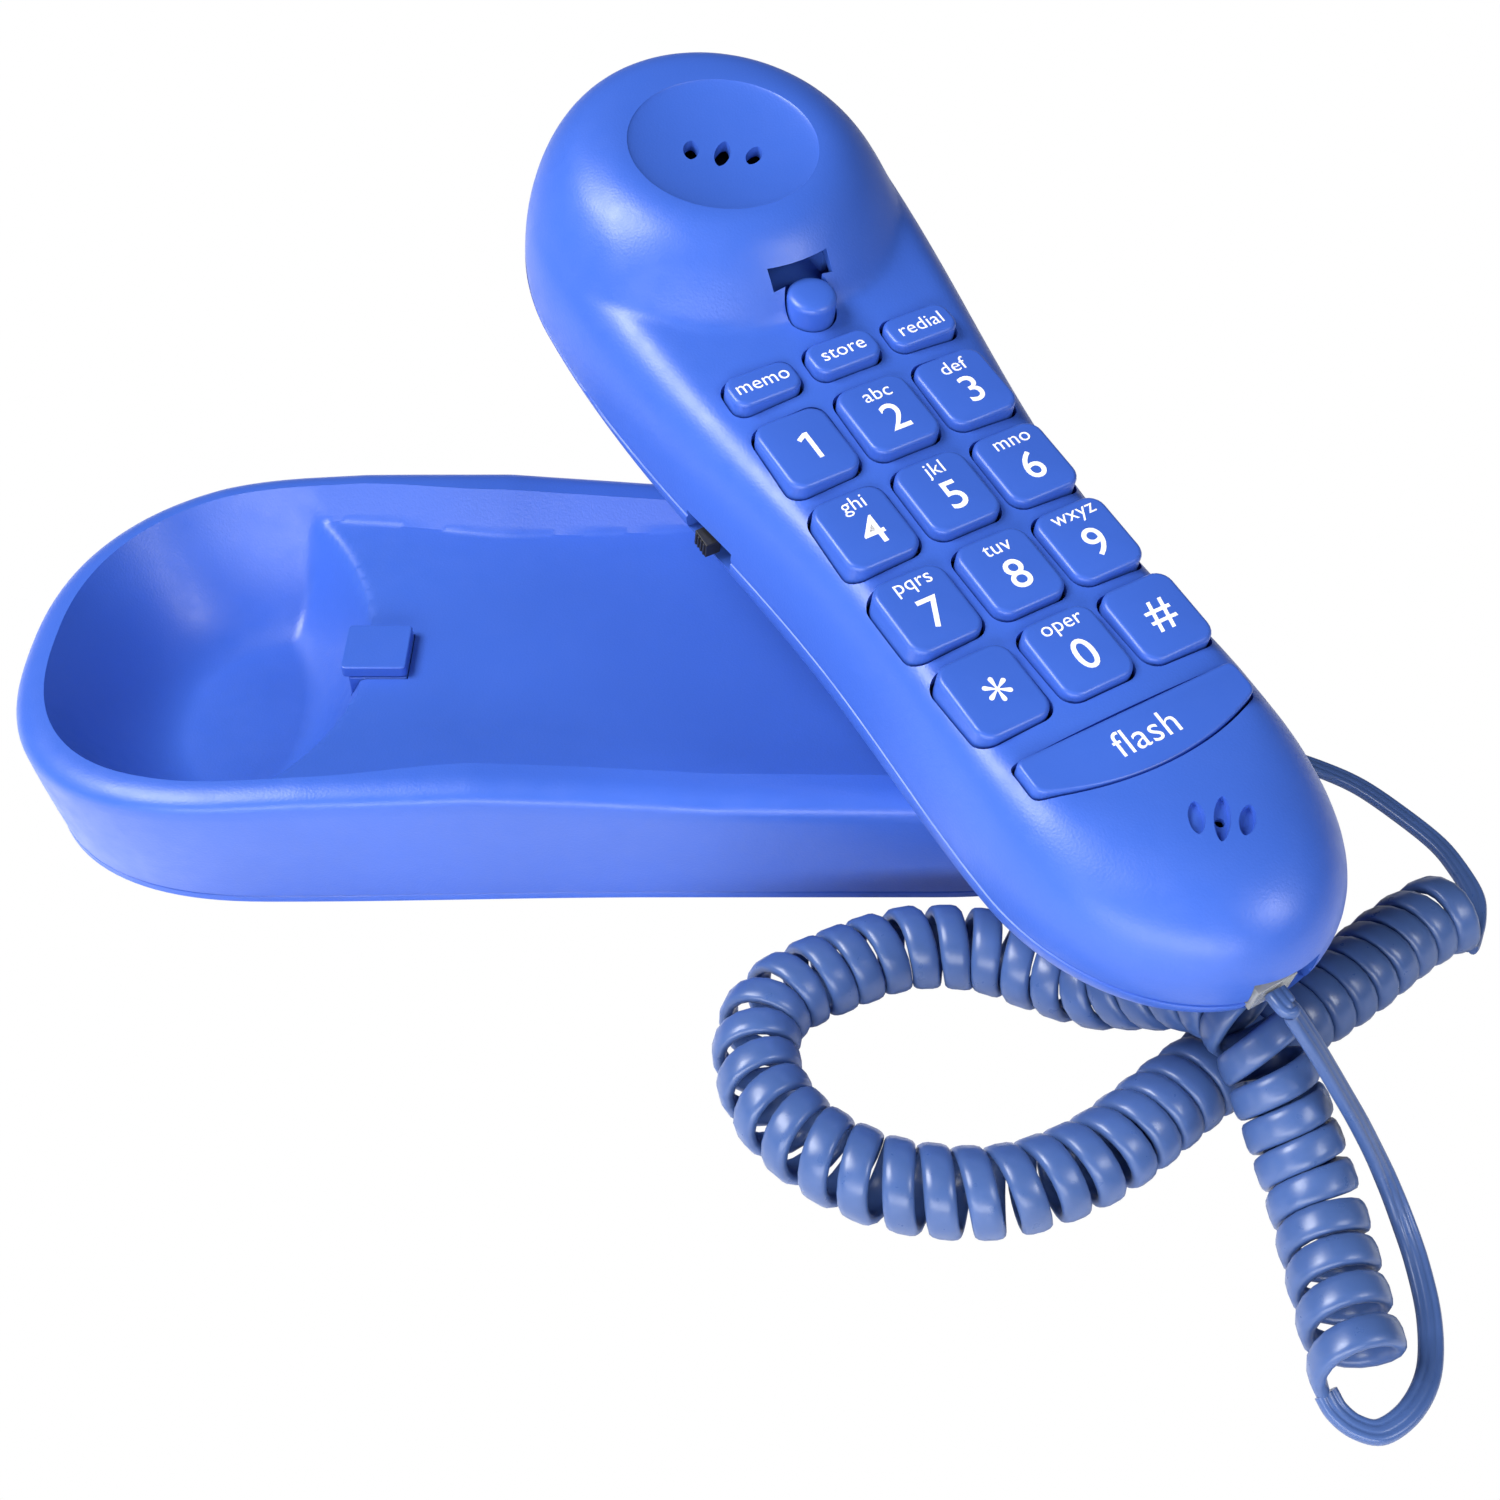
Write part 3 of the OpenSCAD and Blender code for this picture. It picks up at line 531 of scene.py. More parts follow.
def plug_notch():
    x = HANDSET_JACK[0] - 4.3
    return block((x, -92, HANDSET_JACK[2] - 3.7), (x + 12.2, -83, HANDSET_JACK[2] + 3.7))


def slider_slot():
    return block((-34, 26, -21.6), (-24, 38, -17))


def slot_floor():
    """Floor of the hanger slot: the keypad's face carried on under the dome, round the plunger."""
    hole = [(5 * math.cos(a), PLUNGER_Y + 5 * math.sin(a))
            for a in np.radians(np.linspace(170, 10, 17))]
    return prism([(7.2, 67), (-7.2, 67), (-7.2, 54.4)] + hole + [(7.2, 54.4)], 2.6, 4.2)


def build_front():
    obj = shell_piece("front_shell", 1)
    parts = [dish_cutter(), plug_notch(), slider_slot()]
    for (x, y), w, l, r in key_places().values():
        outline = rounded_outline(w + 2 * HOLE_GAP, l + 2 * HOLE_GAP, r)
        parts.append(prism(outline, -12, 12, (x, y)))
    parts.append(prism(flash_outline(HOLE_GAP), -12, 12))
    parts.append(prism(circle_outline(PLUNGER_R + 0.4), -12, 16, (0, PLUNGER_Y)))
    mic_face = float(plain_face(0, MIC_Y))
    parts += sound_ovals(2.6, 8.4, 6, 3.8, MIC_Y, mic_face - 1.5, mic_face + 8)
    cut(obj, parts, HANDSET)
    parts = sound_ovals(2.8, 6.8, 5, 5.6, DOME_Y, DOME_H - DISH_DEPTH - 4, DOME_H + 4)
    parts.append(prism(circle_outline(0.8, 16), mic_face - 6, mic_face + 4, (0, MIC_Y)))
    parts.append(block((-6, PLUNGER_Y + 3, 4.2), (6, PLUNGER_Y + 12, 10.4)))
    cut(obj, parts, HANDSET)
    sides = [block((x, 60, 4.1), (x + 1.2, 67, 8.6)) for x in (-7.2, 6)]
    attach(obj, [slot_floor()] + sides, HANDSET)
    return obj


def build_back():
    obj = shell_piece("back_shell", -1)
    parts = [plug_notch(), slider_slot()]
    for x, y in BACK_SCREWS:
        head = float(back_face(x, y)) + 0.9
        parts.append(prism(circle_outline(3), head - 9, head, (x, y)))
        parts.append(prism(circle_outline(1.7, 24), head - 1, head + 12, (x, y)))
    cut(obj, parts, HANDSET)
    return obj


# =====================================================================
# Keys, plunger, slider, tab and plugs
# =====================================================================

def key_rings(outline_at, top, deep, rounding=0.9):
    """Rings of a key: outline_at(inset) gives its outline; the top edge is rounded."""
    rings = [[(x, y, top - deep) for x, y in outline_at(0)]]
    rings.append([(x, y, top - rounding) for x, y in outline_at(0)])
    for a in np.radians([18, 36, 54, 72, 90]):
        inset = rounding * (1 - math.cos(a))
        z = top - rounding + rounding * math.sin(a)
        rings.append([(x, y, z) for x, y in outline_at(inset)])
    return rings


def build_key(name, centre, w, l, r):
    top = float(plain_face(*centre)) + KEY_PROUD

    def outline_at(inset):
        points = rounded_outline(w - 2 * inset, l - 2 * inset, r - inset)
        return [(x + centre[0], y + centre[1]) for x, y in points]

    points, faces = loft(key_rings(outline_at, top, KEY_DEEP + KEY_PROUD))
    return new_piece("cap_" + name, points, faces, HANDSET, angle=50), top


def build_flash():
    top = float(plain_face(0, FLASH_Y - 5)) + 0.2
    points, faces = loft(key_rings(lambda inset: flash_outline(-inset), top, 3.6, 0.6))
    return new_piece("cap_flash", points, faces, HANDSET, angle=50), top


def turned(profile, at, steps=64):
    """Points and faces of a solid turned about an upright axis, from (radius, height) pairs."""
    rings = [[(x + at[0], y + at[1], z) for x, y in circle_outline(r, steps)]
             for r, z in profile]
    return loft(rings)


def build_plunger():
    profile = [(0.4, 7.75), (2.2, 7.68), (3.4, 7.5), (4.0, 7.2), (4.3, 6.8), (4.4, 6.3),
               (4.4, -4.6), (5.8, -4.6), (5.8, -6.6), (2, -6.6), (2, -9.6)]
    return new_piece("plunger_cap", *turned(profile, (0, PLUNGER_Y)), place=HANDSET)


def build_slider():
    parts = [block((-32.6, 30, -20.9), (-29.6, 34, -17.7)),
             block((-29.7, 30.8, -20.3), (-24.6, 33.2, -18.3))]
    parts += [block((-32.85, y, -20.7), (-32.5, y + 0.45, -17.9)) for y in (30.5, 31.4, 32.3, 33.1)]
    obj = new_piece("slider_knob", *join_parts(parts), place=HANDSET)
    bevel(obj, 0.15)
    return obj


def build_tab():
    """The tab that the handset hangs from on a wall: a plate on a hollow block."""
    plate = prism(rounded_outline(12, 12, 0.9), 25.3, 27.7, (-43, 0))
    obj = new_piece("tab_plate", *join_parts([plate, block((-47.8, -6, 17), (-37, 6, 25.2))]))
    cut(obj, [block((-45.6, -4, 15), (-39.2, 4, 23))])
    bevel(obj, 0.35, 3)
    return obj


def build_plug(name, place):
    """Modular plug along +X with a sprung latch, ribs at its neck and four contact slots."""
    parts = [block((-14.5, -3.8, -3.1), (0, 3.8, 2.3)),
             block((-13.5, -1.6, 2.25), (-12.3, 1.6, 2.9)),
             block((-13.5, -1.6, 2.6), (-0.5, 1.6, 3.1))]
    obj = new_piece(name, *join_parts(parts), place=place)
    slots = [block((-14.8, y - 0.22, -3.4), (-11, y + 0.22, -1.6)) for y in (-1.65, -0.55, 0.55, 1.65)]
    slots += [block((x, -4, -3.4), (x + 0.5, 4, -2.8)) for x in (-4.6, -3.2, -1.8)]
    cut(obj, slots, place)
    bevel(obj, 0.25)
    return obj


# =====================================================================
# Legends
# =====================================================================

LETTERS = {"2": "abc", "3": "def", "4": "ghi", "5": "jkl", "6": "mno", "7": "pqrs",
           "8": "tuv", "9": "wxyz", "0": "oper"}
SIGNS = {"star": "*", "hash": "#"}
DIGIT_H = 5.9
LETTER_SIZE = 4.0
WORD_SIZE = 4.0
FLASH_SIZE = 6.6
STAR_H = 4.9
WORD_BOLD, SIGN_BOLD = -0.004, 0.004
PRINT_T = 0.06          # thickness of the printed legends


def text_mesh(word, size, bold=WORD_BOLD):
    """Points and faces of a word centred on the origin; bold is a share of the size."""
    curve = bpy.data.curves.new("word", "FONT")
    curve.body = word
    curve.size = size
    curve.offset = size * bold
    curve.resolution_u = 5
    curve.extrude = PRINT_T / 2
    curve.space_character = 1.03
    obj = bpy.data.objects.new("word", curve)
    bpy.context.scene.collection.objects.link(obj)
    graph = bpy.context.evaluated_depsgraph_get()
    mesh = bpy.data.meshes.new_from_object(obj.evaluated_get(graph))
    points = np.array([v.co for v in mesh.vertices])
    faces = [tuple(p.vertices) for p in mesh.polygons]
    bpy.data.objects.remove(obj)
    middle = (points.max(0) + points.min(0)) / 2
    return points - middle, faces


def print_legend(name, words, top):
    """Legends as one thin piece; words are (points, faces, centre)."""
    parts = [(points + np.array([at[0], at[1], top + PRINT_T / 2]), faces)
             for points, faces, at in words]
    return new_piece("legend_" + name, *join_parts(parts), place=HANDSET)


# Outline of a one with a flag, five units high
ONE = [(0.75, -2.5), (0.75, 2.5), (0.05, 2.5), (-1.25, 1.75), (-0.9, 1.15), (0.05, 1.7), (0.05, -2.5)]


def sized_sign(sign, height):
    """A digit or sign scaled to a height; the one is drawn here, with a flag."""
    if sign == "1":
        points, faces = prism(ONE, -PRINT_T / 2, PRINT_T / 2)
        points = np.array(points)
    else:
        points, faces = text_mesh(sign, 8, SIGN_BOLD)
    scale = height / np.ptp(points[:, 1])
    return points * np.array([scale, scale, 1]), faces


def key_legend(name, centre, top):
    x, y = centre
    if name in ("memo", "store", "redial"):
        points, faces = text_mesh(name, WORD_SIZE)
        return print_legend(name, [(points, faces, (x, y))], top)
    words = []
    low = 1.0 if name in LETTERS else 0
    height = STAR_H if name == "star" else DIGIT_H
    points, faces = sized_sign(SIGNS.get(name, name), height)
    words.append((points, faces, (x + 0.5, y - 0.2 - low)))
    if name in LETTERS:
        points, faces = text_mesh(LETTERS[name], LETTER_SIZE)
        words.append((points, faces, (x + 0.4, y + 4.6)))
    return print_legend(name, words, top)


# =====================================================================
# Cords
# =====================================================================

COIL_R = 6.2            # radius of the coil's centre line
BAND_W, BAND_T = 5.1, 2.4
COIL_STEPS = 18         # points a turn
TIGHTEST = 0.8          # least share of the pitch that a bend leaves on its inside
COIL_START, COIL_END = 215, 315     # where round the axis the wire starts and ends, in degrees
# The coil's axis, the handset's lead and the base's lead, in metres
CURL_ROUTE = [
    (0.1155, -0.135, 0.0076), (0.115, -0.126, 0.0076), (0.1145, -0.116, 0.008),
    (0.1135, -0.107, 0.01), (0.111, -0.0985, 0.0145), (0.108, -0.091, 0.02),
    (0.106, -0.0865, 0.0226), (0.103, -0.0805, 0.0234), (0.098, -0.075, 0.021),
    (0.091, -0.07, 0.015), (0.084, -0.0655, 0.0095), (0.076, -0.0605, 0.0076),
    (0.067, -0.0565, 0.0076), (0.058, -0.0556, 0.0076), (0.0515, -0.0565, 0.0076),
    (0.0455, -0.0588, 0.0076), (0.0395, -0.0618, 0.0076), (0.034, -0.065, 0.0076),
    (0.03, -0.069, 0.0076), (0.0278, -0.0745, 0.0076), (0.0278, -0.0815, 0.0076),
    (0.03, -0.0884, 0.0076), (0.0338, -0.0938, 0.0076), (0.039, -0.0985, 0.0076),
    (0.0475, -0.103, 0.0076), (0.058, -0.105, 0.0076), (0.067, -0.1046, 0.0076),
    (0.075, -0.102, 0.0076), (0.0825, -0.098, 0.0076), (0.0895, -0.0925, 0.0076),
    (0.0965, -0.0865, 0.0076), (0.104, -0.0805, 0.0076), (0.113, -0.074, 0.0076),
    (0.1225, -0.0675, 0.0076), (0.131, -0.0612, 0.0076), (0.139, -0.0545, 0.0076),
    (0.146, -0.0496, 0.0076), (0.15, -0.0478, 0.0076),
]
HANDSET_ROUTE = [
    (0.107, -0.0943, 0.0395), (0.111, -0.0964, 0.034), (0.1155, -0.0985, 0.027),
    (0.1205, -0.101, 0.019), (0.125, -0.104, 0.011), (0.128, -0.1085, 0.0055),
    (0.1296, -0.115, 0.0026), (0.1296, -0.1235, 0.0015), (0.1275, -0.132, 0.0015),
    (0.1235, -0.138, 0.0015), (0.1185, -0.1414, 0.0015), (0.1148, -0.1408, 0.0017),
    (0.1122, -0.1388, 0.0025), (0.1108, -0.1365, 0.0037),
]
BASE_ROUTE = [
    (0.10885, -0.01, 0.012), (0.112, -0.01, 0.0119), (0.116, -0.0095, 0.011),
    (0.122, -0.0075, 0.008), (0.129, -0.0055, 0.004), (0.1365, -0.0065, 0.0016),
    (0.143, -0.011, 0.0015), (0.149, -0.018, 0.0015), (0.1545, -0.026, 0.0015),
    (0.157, -0.033, 0.0015), (0.158, -0.039, 0.0015), (0.157, -0.044, 0.0015),
    (0.1553, -0.048, 0.0017), (0.154, -0.0506, 0.0023), (0.1532, -0.0517, 0.0029),
]
# Half of a flat lead's section: three lanes with a groove between them
LEAD_SECTION = [(-1.9, 0), (-1.82, 0.5), (-1.55, 0.86), (-1.2, 0.99), (-0.85, 0.95), (-0.64, 0.84),
                (-0.45, 0.97), (-0.2, 1.04), (0.2, 1.04), (0.45, 0.97), (0.64, 0.84), (0.85, 0.95),
                (1.2, 0.99), (1.55, 0.86), (1.82, 0.5), (1.9, 0)]


def smooth_route(route, steps):
    """Points of a Catmull-Rom curve through a route."""
    p = np.array(route)
    p = np.vstack([2 * p[0] - p[1], p, 2 * p[-1] - p[-2]])
    out = []
    for i in range(1, len(p) - 2):
        for t in np.arange(steps) / steps:
            a, b, c, d = p[i - 1:i + 3]
            out.append(0.5 * (2 * b + (c - a) * t + (2 * a - 5 * b + 4 * c - d) * t ** 2
                              + (3 * b - a - 3 * c + d) * t ** 3))
    return np.array(out + [p[-2]])


def unit(v):
    return v / np.linalg.norm(v, axis=-1, keepdims=True)


def sweep(name, path, side, section, widths=None):
    """A solid along path, in metres; section is (across, out) pairs in millimetres."""
    widths = np.ones(len(path)) if widths is None else widths
    forward = unit(np.gradient(path, axis=0))
    side = unit(side - (side * forward).sum(1, keepdims=True) * forward)
    out = np.cross(forward, side)
    rings = [[(p + (s * u * w + o * v) * MM) / MM for u, v in section]
             for p, s, o, w in zip(path, side, out, widths)]
    return new_piece(name, *loft(rings), angle=70)


def build_spring():
    """The plunger's spring; its turns narrow upwards, so that it can be pressed flat."""
    turn = np.linspace(0, 2 * np.pi * SPRING_TURNS, 24 * SPRING_TURNS + 1)
    share = turn / turn[-1]
    radius = SPRING_R[0] + (SPRING_R[1] - SPRING_R[0]) * share
    rise = SPRING_TOP - SPRING_FOOT - 2 * SPRING_WIRE
    height = SPRING_FOOT + SPRING_WIRE + rise * share
    path = np.array([tuple(HANDSET @ Vector(p) * MM) for p in zip(
        radius * np.cos(turn), PLUNGER_Y + radius * np.sin(turn), height)])
    axis = HANDSET.to_3x3() @ Vector((0, 0, 1))
    wire = circle_outline(SPRING_WIRE, 10)
    return sweep("return_spring", path, np.tile(tuple(axis), (len(path), 1)), wire), axis


def build_lead(name, route):
    path = smooth_route(route, 8)
    forward = unit(np.gradient(path, axis=0))
    side = np.cross(forward, [0, 0, 1])
    lower = [(u, -v) for u, v in LEAD_SECTION[1:-1][::-1]]
    obj = sweep(name, path, side, LEAD_SECTION + lower)
    return obj, path


def coil_path():
    """Points of the coiled wire, with the coil's axis direction at each."""
    axis = smooth_route(CURL_ROUTE, 40)
    steps = np.linalg.norm(np.diff(axis, axis=0), axis=1)
    run = np.concatenate([[0], np.cumsum(steps)])
    forward = unit(np.gradient(axis, axis=0))
    bend = np.linalg.norm(np.gradient(forward, axis=0), axis=1) / np.gradient(run)
    bend = np.convolve(np.pad(bend, 20, mode="edge"), np.ones(41) / 41, mode="valid")
    near = np.exp(-(run / 0.013) ** 2)
    pitch = BAND_W * MM * (1 + 0.5 * near) / np.maximum(1 - COIL_R * MM * bend, TIGHTEST)
    turns = np.concatenate([[0], np.cumsum(steps / ((pitch[1:] + pitch[:-1]) / 2))])
    spare = (COIL_START - COIL_END) % 360 / 360
    turns *= (round(turns[-1] - spare) + spare) / turns[-1]
    at = np.linspace(0, turns[-1], int(turns[-1] * COIL_STEPS))
    place = np.interp(at, turns, run)
    centre = np.stack([np.interp(place, run, axis[:, k]) for k in range(3)], axis=1)
    along = unit(np.stack([np.interp(place, run, forward[:, k]) for k in range(3)], axis=1))
    side = unit(np.cross(along, [0, 0, 1]))
    up = np.cross(side, along)
    # clockwise seen from the front, from the lower left of the near end
    angle = math.radians(COIL_START) - 2 * np.pi * at
    radius = COIL_R * MM * (1 + 0.05 * np.exp(-place / 0.004))
    wire = centre + radius[:, None] * (np.cos(angle)[:, None] * side + np.sin(angle)[:, None] * up)
    return wire, along


def build_coil():
    path, along = coil_path()
    section = []
    for a in np.linspace(0, 2 * math.pi, 15)[:-1]:
        u = BAND_W / 2 * math.copysign(abs(math.cos(a)) ** 0.62, math.cos(a))
        v = BAND_T / 2 * math.copysign(abs(math.sin(a)) ** 0.85, math.sin(a))
        section.append((u, v))
    # where the turns crowd on the inside of a bend the band is pressed narrower
    room = np.linalg.norm(path[COIL_STEPS:] - path[:-COIL_STEPS], axis=1) / (BAND_W * MM)
    room = np.concatenate([room, np.full(COIL_STEPS, room[-1])])
    before = np.concatenate([np.full(COIL_STEPS, 1.0), room[:-COIL_STEPS]])
    widths = np.clip(np.minimum(room, before), 0.7, 1) * 0.985
    return sweep("coil_band", path, along, section, widths), path


# =====================================================================
# Materials
# =====================================================================

class Nodes:
    """Short way to build a material's nodes."""

    def __init__(self, name):
        self.material = bpy.data.materials.new(name)
        self.material.use_nodes = True
        self.tree = self.material.node_tree
        self.shader = self.tree.nodes["Principled BSDF"]
        self.place = self.tree.nodes.new("ShaderNodeTexCoord").outputs["Object"]

    def noise(self, scale, detail=3, stretch=None):
        node = self.tree.nodes.new("ShaderNodeTexNoise")
        node.inputs["Scale"].default_value = scale
        node.inputs["Detail"].default_value = detail
        source = self.place
        if stretch:
            mapping = self.tree.nodes.new("ShaderNodeMapping")
            mapping.inputs["Scale"].default_value = stretch
            self.tree.links.new(source, mapping.inputs["Vector"])
            source = mapping.outputs["Vector"]
        self.tree.links.new(source, node.inputs["Vector"])
        return node.outputs["Fac"]

    def spread(self, value, low, high):
        node = self.tree.nodes.new("ShaderNodeMapRange")
        node.inputs["From Min"].default_value = 0.3
        node.inputs["From Max"].default_value = 0.7
        node.inputs["To Min"].default_value = low
        node.inputs["To Max"].default_value = high
        self.tree.links.new(value, node.inputs["Value"])
        return node.outputs["Result"]

    def colours(self, value, dark, light):
        node = self.tree.nodes.new("ShaderNodeMix")
        node.data_type = "RGBA"
        node.inputs["A"].default_value = (*dark, 1)
        node.inputs["B"].default_value = (*light, 1)
        self.tree.links.new(value, node.inputs["Factor"])
        self.tree.links.new(node.outputs["Result"], self.shader.inputs["Base Color"])

    def bump(self, value, height):
        node = self.tree.nodes.new("ShaderNodeBump")
        node.inputs["Distance"].default_value = height * MM
        self.tree.links.new(value, node.inputs["Height"])
        self.tree.links.new(node.outputs["Normal"], self.shader.inputs["Normal"])

    def roughness(self, value, low, high):
        self.tree.links.new(self.spread(value, low, high), self.shader.inputs["Roughness"])


def shades(colour, share):
    """A darker and a lighter shade of a colour."""
    return [c * (1 - share) for c in colour], [min(1, c * (1 + share)) for c in colour]


def moulded(name, colour, rough=0.36, grain=2200, height=0.035, share=0.05):
    """Moulded plastic: a fine spark-eroded grain and slow changes of shade and gloss."""
    nodes = Nodes(name)
    nodes.colours(nodes.spread(nodes.noise(22, 2), 0, 1), *shades(colour, share))
    nodes.roughness(nodes.noise(260, 4), rough - 0.04, rough + 0.05)
    nodes.bump(nodes.noise(grain, 2), height)
    return nodes.material


def vinyl(name, colour):
    """Extruded vinyl of the cords: smooth and slightly glossy, with a fine even bump."""
    nodes = Nodes(name)
    nodes.colours(nodes.spread(nodes.noise(90, 3), 0, 1), *shades(colour, 0.07))
    nodes.roughness(nodes.noise(420, 3), 0.27, 0.4)
    nodes.bump(nodes.noise(700, 4), 0.02)
    nodes.shader.inputs["Coat Weight"].default_value = 0.15
    nodes.shader.inputs["Coat Roughness"].default_value = 0.25
    return nodes.material


def metal(name, colour, rough=0.3):
    nodes = Nodes(name)
    nodes.colours(nodes.spread(nodes.noise(150, 3), 0, 1), *shades(colour, 0.08))
    nodes.roughness(nodes.noise(900, 4, (1, 1, 14)), rough - 0.08, rough + 0.12)
    nodes.bump(nodes.noise(1400, 3, (1, 1, 20)), 0.01)
    nodes.shader.inputs["Metallic"].default_value = 1
    return nodes.material


def rubber(name, colour):
    nodes = Nodes(name)
    nodes.colours(nodes.spread(nodes.noise(60, 4), 0, 1), *shades(colour, 0.2))
    nodes.roughness(nodes.noise(300, 3), 0.68, 0.85)
    nodes.bump(nodes.noise(1100, 5), 0.05)
    return nodes.material


def clear_plastic(name):
    nodes = Nodes(name)
    nodes.colours(nodes.spread(nodes.noise(70, 2), 0, 1), (0.86, 0.9, 0.93), (0.95, 0.97, 0.98))
    nodes.roughness(nodes.noise(300, 2), 0.05, 0.13)
    nodes.bump(nodes.noise(180, 2), 0.03)
    nodes.shader.inputs["Transmission Weight"].default_value = 0.7
    nodes.shader.inputs["IOR"].default_value = 1.49
    return nodes.material


def print_ink(name):
    nodes = Nodes(name)
    nodes.colours(nodes.spread(nodes.noise(500, 3), 0, 1), (0.88, 0.89, 0.92), (0.98, 0.98, 1))
    nodes.roughness(nodes.noise(900, 2), 0.4, 0.5)
    nodes.bump(nodes.noise(2500, 2), 0.006)
    return nodes.material


SHELL_BLUE = (0.045, 0.125, 0.56)
KEY_BLUE = (0.043, 0.12, 0.54)
CORD_BLUE = (0.058, 0.115, 0.31)


def build_materials():
    return {
        "shell": moulded("moulded_blue", SHELL_BLUE),
        "key": moulded("key_blue", KEY_BLUE, rough=0.34, grain=2400, height=0.012),
        "cord": vinyl("cord_vinyl_blue", CORD_BLUE),
        "clear": clear_plastic("clear_polycarbonate"),
        "ink": print_ink("legend_ink"),
        "black": moulded("black_plastic", (0.012, 0.012, 0.014), 0.45),
        "grey": moulded("grey_plastic", (0.09, 0.09, 0.1), 0.5),
        "rubber": rubber("black_rubber", (0.018, 0.018, 0.02)),
        "membrane": rubber("grey_silicone", (0.5, 0.53, 0.58)),
        "steel": metal("bright_steel", (0.62, 0.63, 0.65)),
        "brass": metal("ringer_brass", (0.72, 0.5, 0.2), 0.35),
        "board": moulded("board_green", (0.02, 0.12, 0.04), 0.35, 500, 0.03, 0.3),
        "sleeve": moulded("capacitor_blue", (0.02, 0.025, 0.12), 0.3),
    }


NODE_LOOKS = {
    "base_feet": "rubber", "base_screws": "steel", "ballast_plate": "steel",
    "base_jack": "black", "line_jack": "black", "jack_board": "board",
    "handset_jack": "black", "handset_screws": "steel", "main_board": "board",
    "keypad_membrane": "membrane", "dialler_chip": "black", "board_capacitors": "sleeve",
    "receiver": "grey", "receiver_gasket": "rubber", "microphone": "steel",
    "microphone_boot": "rubber", "ringer_disc": "brass", "ringer_switch": "black",
    "hook_switch": "black", "hook_spring": "steel",
}


def paint(obj, material):
    obj.data.materials.clear()
    obj.data.materials.append(material)


# =====================================================================
# Putting it together
# =====================================================================

def add(obj, body, look, nodes=()):
    """Paints a piece, makes it ride on a body and hides the imported nodes it stands for."""
    paint(obj, looks[look])
    if body:
        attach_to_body(obj, body)
    if nodes:
        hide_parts(*nodes)


def add_keys():
    for name, (centre, w, l, r) in key_places().items():
        cap, top = build_key(name, centre, w, l, r)
        add(cap, "key_" + name, "key", ["key_" + name])
        add(key_legend(name, centre, top), "key_" + name, "ink")
    cap, top = build_flash()
    add(cap, "key_flash", "key", ["key_flash"])
    points, faces = text_mesh("flash", FLASH_SIZE)
    legend = print_legend("flash", [(points, faces, (0, FLASH_Y - 4.9))], top)
    add(legend, "key_flash", "ink")


def add_cords():
    """The three lengths of cord, from the handset's plug to the base's plug."""
    squared = [tuple(HANDSET @ Vector((HANDSET_JACK[0], HANDSET_PLUG_END - out, HANDSET_JACK[2])) * MM)
               for out in (0.25, 3)]
    lead, lead_path = build_lead("lead_to_handset", squared + HANDSET_ROUTE)
    coil, coil_wire = build_coil()
    tail, tail_path = build_lead("lead_to_base", BASE_ROUTE)
    for obj, body, node in ((lead, None, "handset_lead"), (coil, "base", "curly_cord"),
                            (tail, "base", "base_lead")):
        add(obj, body, "cord", [node])
    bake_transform(lead)
    plug_turn = Matrix.Rotation(math.radians(-90), 4, "Z")
    handset_place = HANDSET @ Matrix.Translation(
        (HANDSET_JACK[0], HANDSET_PLUG_END, HANDSET_JACK[2])) @ plug_turn
    base_place = Matrix.Translation((BASE_PLUG_END, COIL_JACK_Y, JACK_Z))
    handset_plug = build_plug("plug_in_handset", handset_place)
    base_plug = build_plug("plug_in_base", base_place)
    add(handset_plug, "handset", "clear", ["handset_plug"])
    add(base_plug, "base", "clear", ["base_plug"])


SKY = 0.03              # brightness of the upper half of the surroundings


def add_light(name, at, target, size, power):
    """A rectangular area light at a place, turned to its target, in metres and watts."""
    light = bpy.data.lights.new(name, "AREA")
    light.shape = "RECTANGLE"
    light.size, light.size_y = size
    light.energy = power
    obj = bpy.data.objects.new(name, light)
    obj.location = at
    obj.rotation_euler = (Vector(target) - Vector(at)).to_track_quat("-Z", "Y").to_euler()
    bpy.context.scene.collection.objects.link(obj)


def add_lights():
    add_light("key_softbox", (-0.5, -0.08, 0.7), (0.0, -0.02, 0.03), (0.5, 0.4), 9.5)
    add_light("right_softbox", (0.65, -0.4, 0.58), (0.1, -0.06, 0.05), (0.3, 0.3), 2.6)
    add_light("front_strip", (-0.1, -0.75, 0.24), (0.0, -0.05, 0.03), (0.9, 0.25), 5)


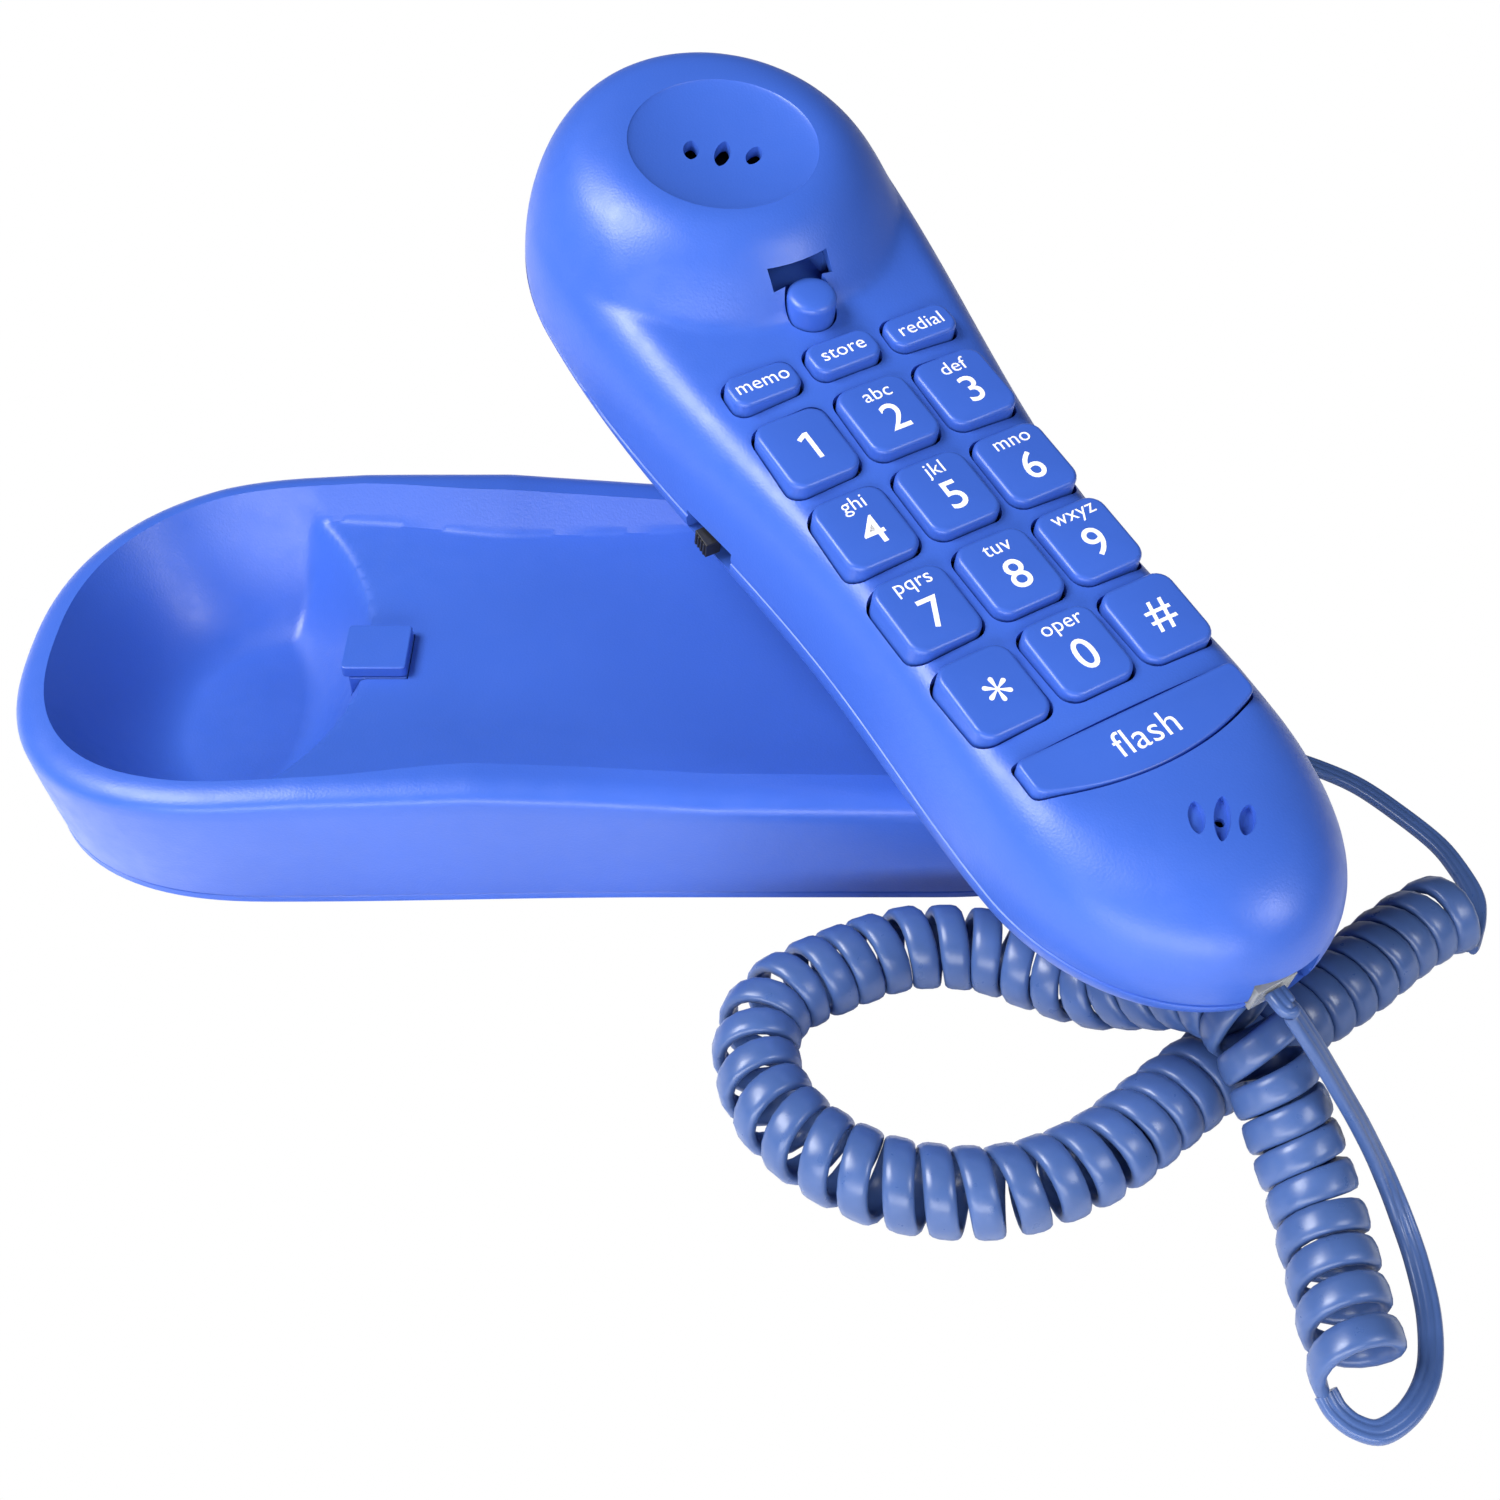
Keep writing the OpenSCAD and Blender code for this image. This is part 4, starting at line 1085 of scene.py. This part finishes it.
def add_world():
    """White below the horizon, where the camera looks, and dimmer above it."""
    world = bpy.data.worlds.new("white_sweep")
    world.use_nodes = True
    tree = world.node_tree
    tree.nodes["Background"].inputs["Color"].default_value = (1, 1, 1, 1)
    place = tree.nodes.new("ShaderNodeTexCoord").outputs["Generated"]
    split = tree.nodes.new("ShaderNodeSeparateXYZ")
    level = tree.nodes.new("ShaderNodeMapRange")
    level.inputs["From Min"].default_value = -0.12
    level.inputs["From Max"].default_value = 0.05
    level.inputs["To Min"].default_value = 1.0
    level.inputs["To Max"].default_value = SKY
    tree.links.new(place, split.inputs["Vector"])
    tree.links.new(split.outputs["Z"], level.inputs["Value"])
    tree.links.new(level.outputs["Result"], tree.nodes["Background"].inputs["Strength"])
    bpy.context.scene.world = world


def add_table():
    """A white table under the phone; the picture's own background is the sweep beyond it."""
    points, faces = block((-1500, -1500, -8), (1500, 1500, -0.6))
    table = new_piece("table", points, faces)
    paint(table, print_ink("table_white"))
    table.visible_camera = False


def add_camera():
    camera = bpy.data.cameras.new("camera")
    camera.lens = 48
    camera.sensor_width = 36
    camera.clip_start = 0.01
    obj = bpy.data.objects.new("camera", camera)
    obj.location = (0.0265, -0.277, 0.2773)
    obj.rotation_euler = (math.radians(45), 0, 0)
    bpy.context.scene.collection.objects.link(obj)
    bpy.context.scene.camera = obj
    bpy.context.scene.view_settings.view_transform = "Standard"


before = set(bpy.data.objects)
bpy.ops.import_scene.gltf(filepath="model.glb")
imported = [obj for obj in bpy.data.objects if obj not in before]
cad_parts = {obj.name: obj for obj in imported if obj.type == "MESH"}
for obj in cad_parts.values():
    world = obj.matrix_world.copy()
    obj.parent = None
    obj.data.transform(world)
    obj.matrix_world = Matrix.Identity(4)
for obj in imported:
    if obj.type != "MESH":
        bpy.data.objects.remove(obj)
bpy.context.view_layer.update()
looks = build_materials()
for node_name, node_look in NODE_LOOKS.items():
    paint(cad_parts[node_name], looks[node_look])

add(build_cover(), "base", "shell", ["base_cover"])
add(build_bottom(), "base", "shell", ["base_bottom"])
add(build_tab(), "base", "shell", ["hanger_tab"])
add(build_front(), "handset", "shell", ["handset_front"])
add(build_back(), "handset", "shell", ["handset_back"])
add(build_plunger(), "hook_plunger", "key", ["hook_plunger"])
add(build_slider(), "ringer_slider", "black", ["ringer_slider"])
spring, spring_axis = build_spring()
add(spring, "handset", "steel", ["hook_spring"])
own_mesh(spring)
add_keys()
add_cords()
add_world()
add_table()
add_lights()
add_camera()
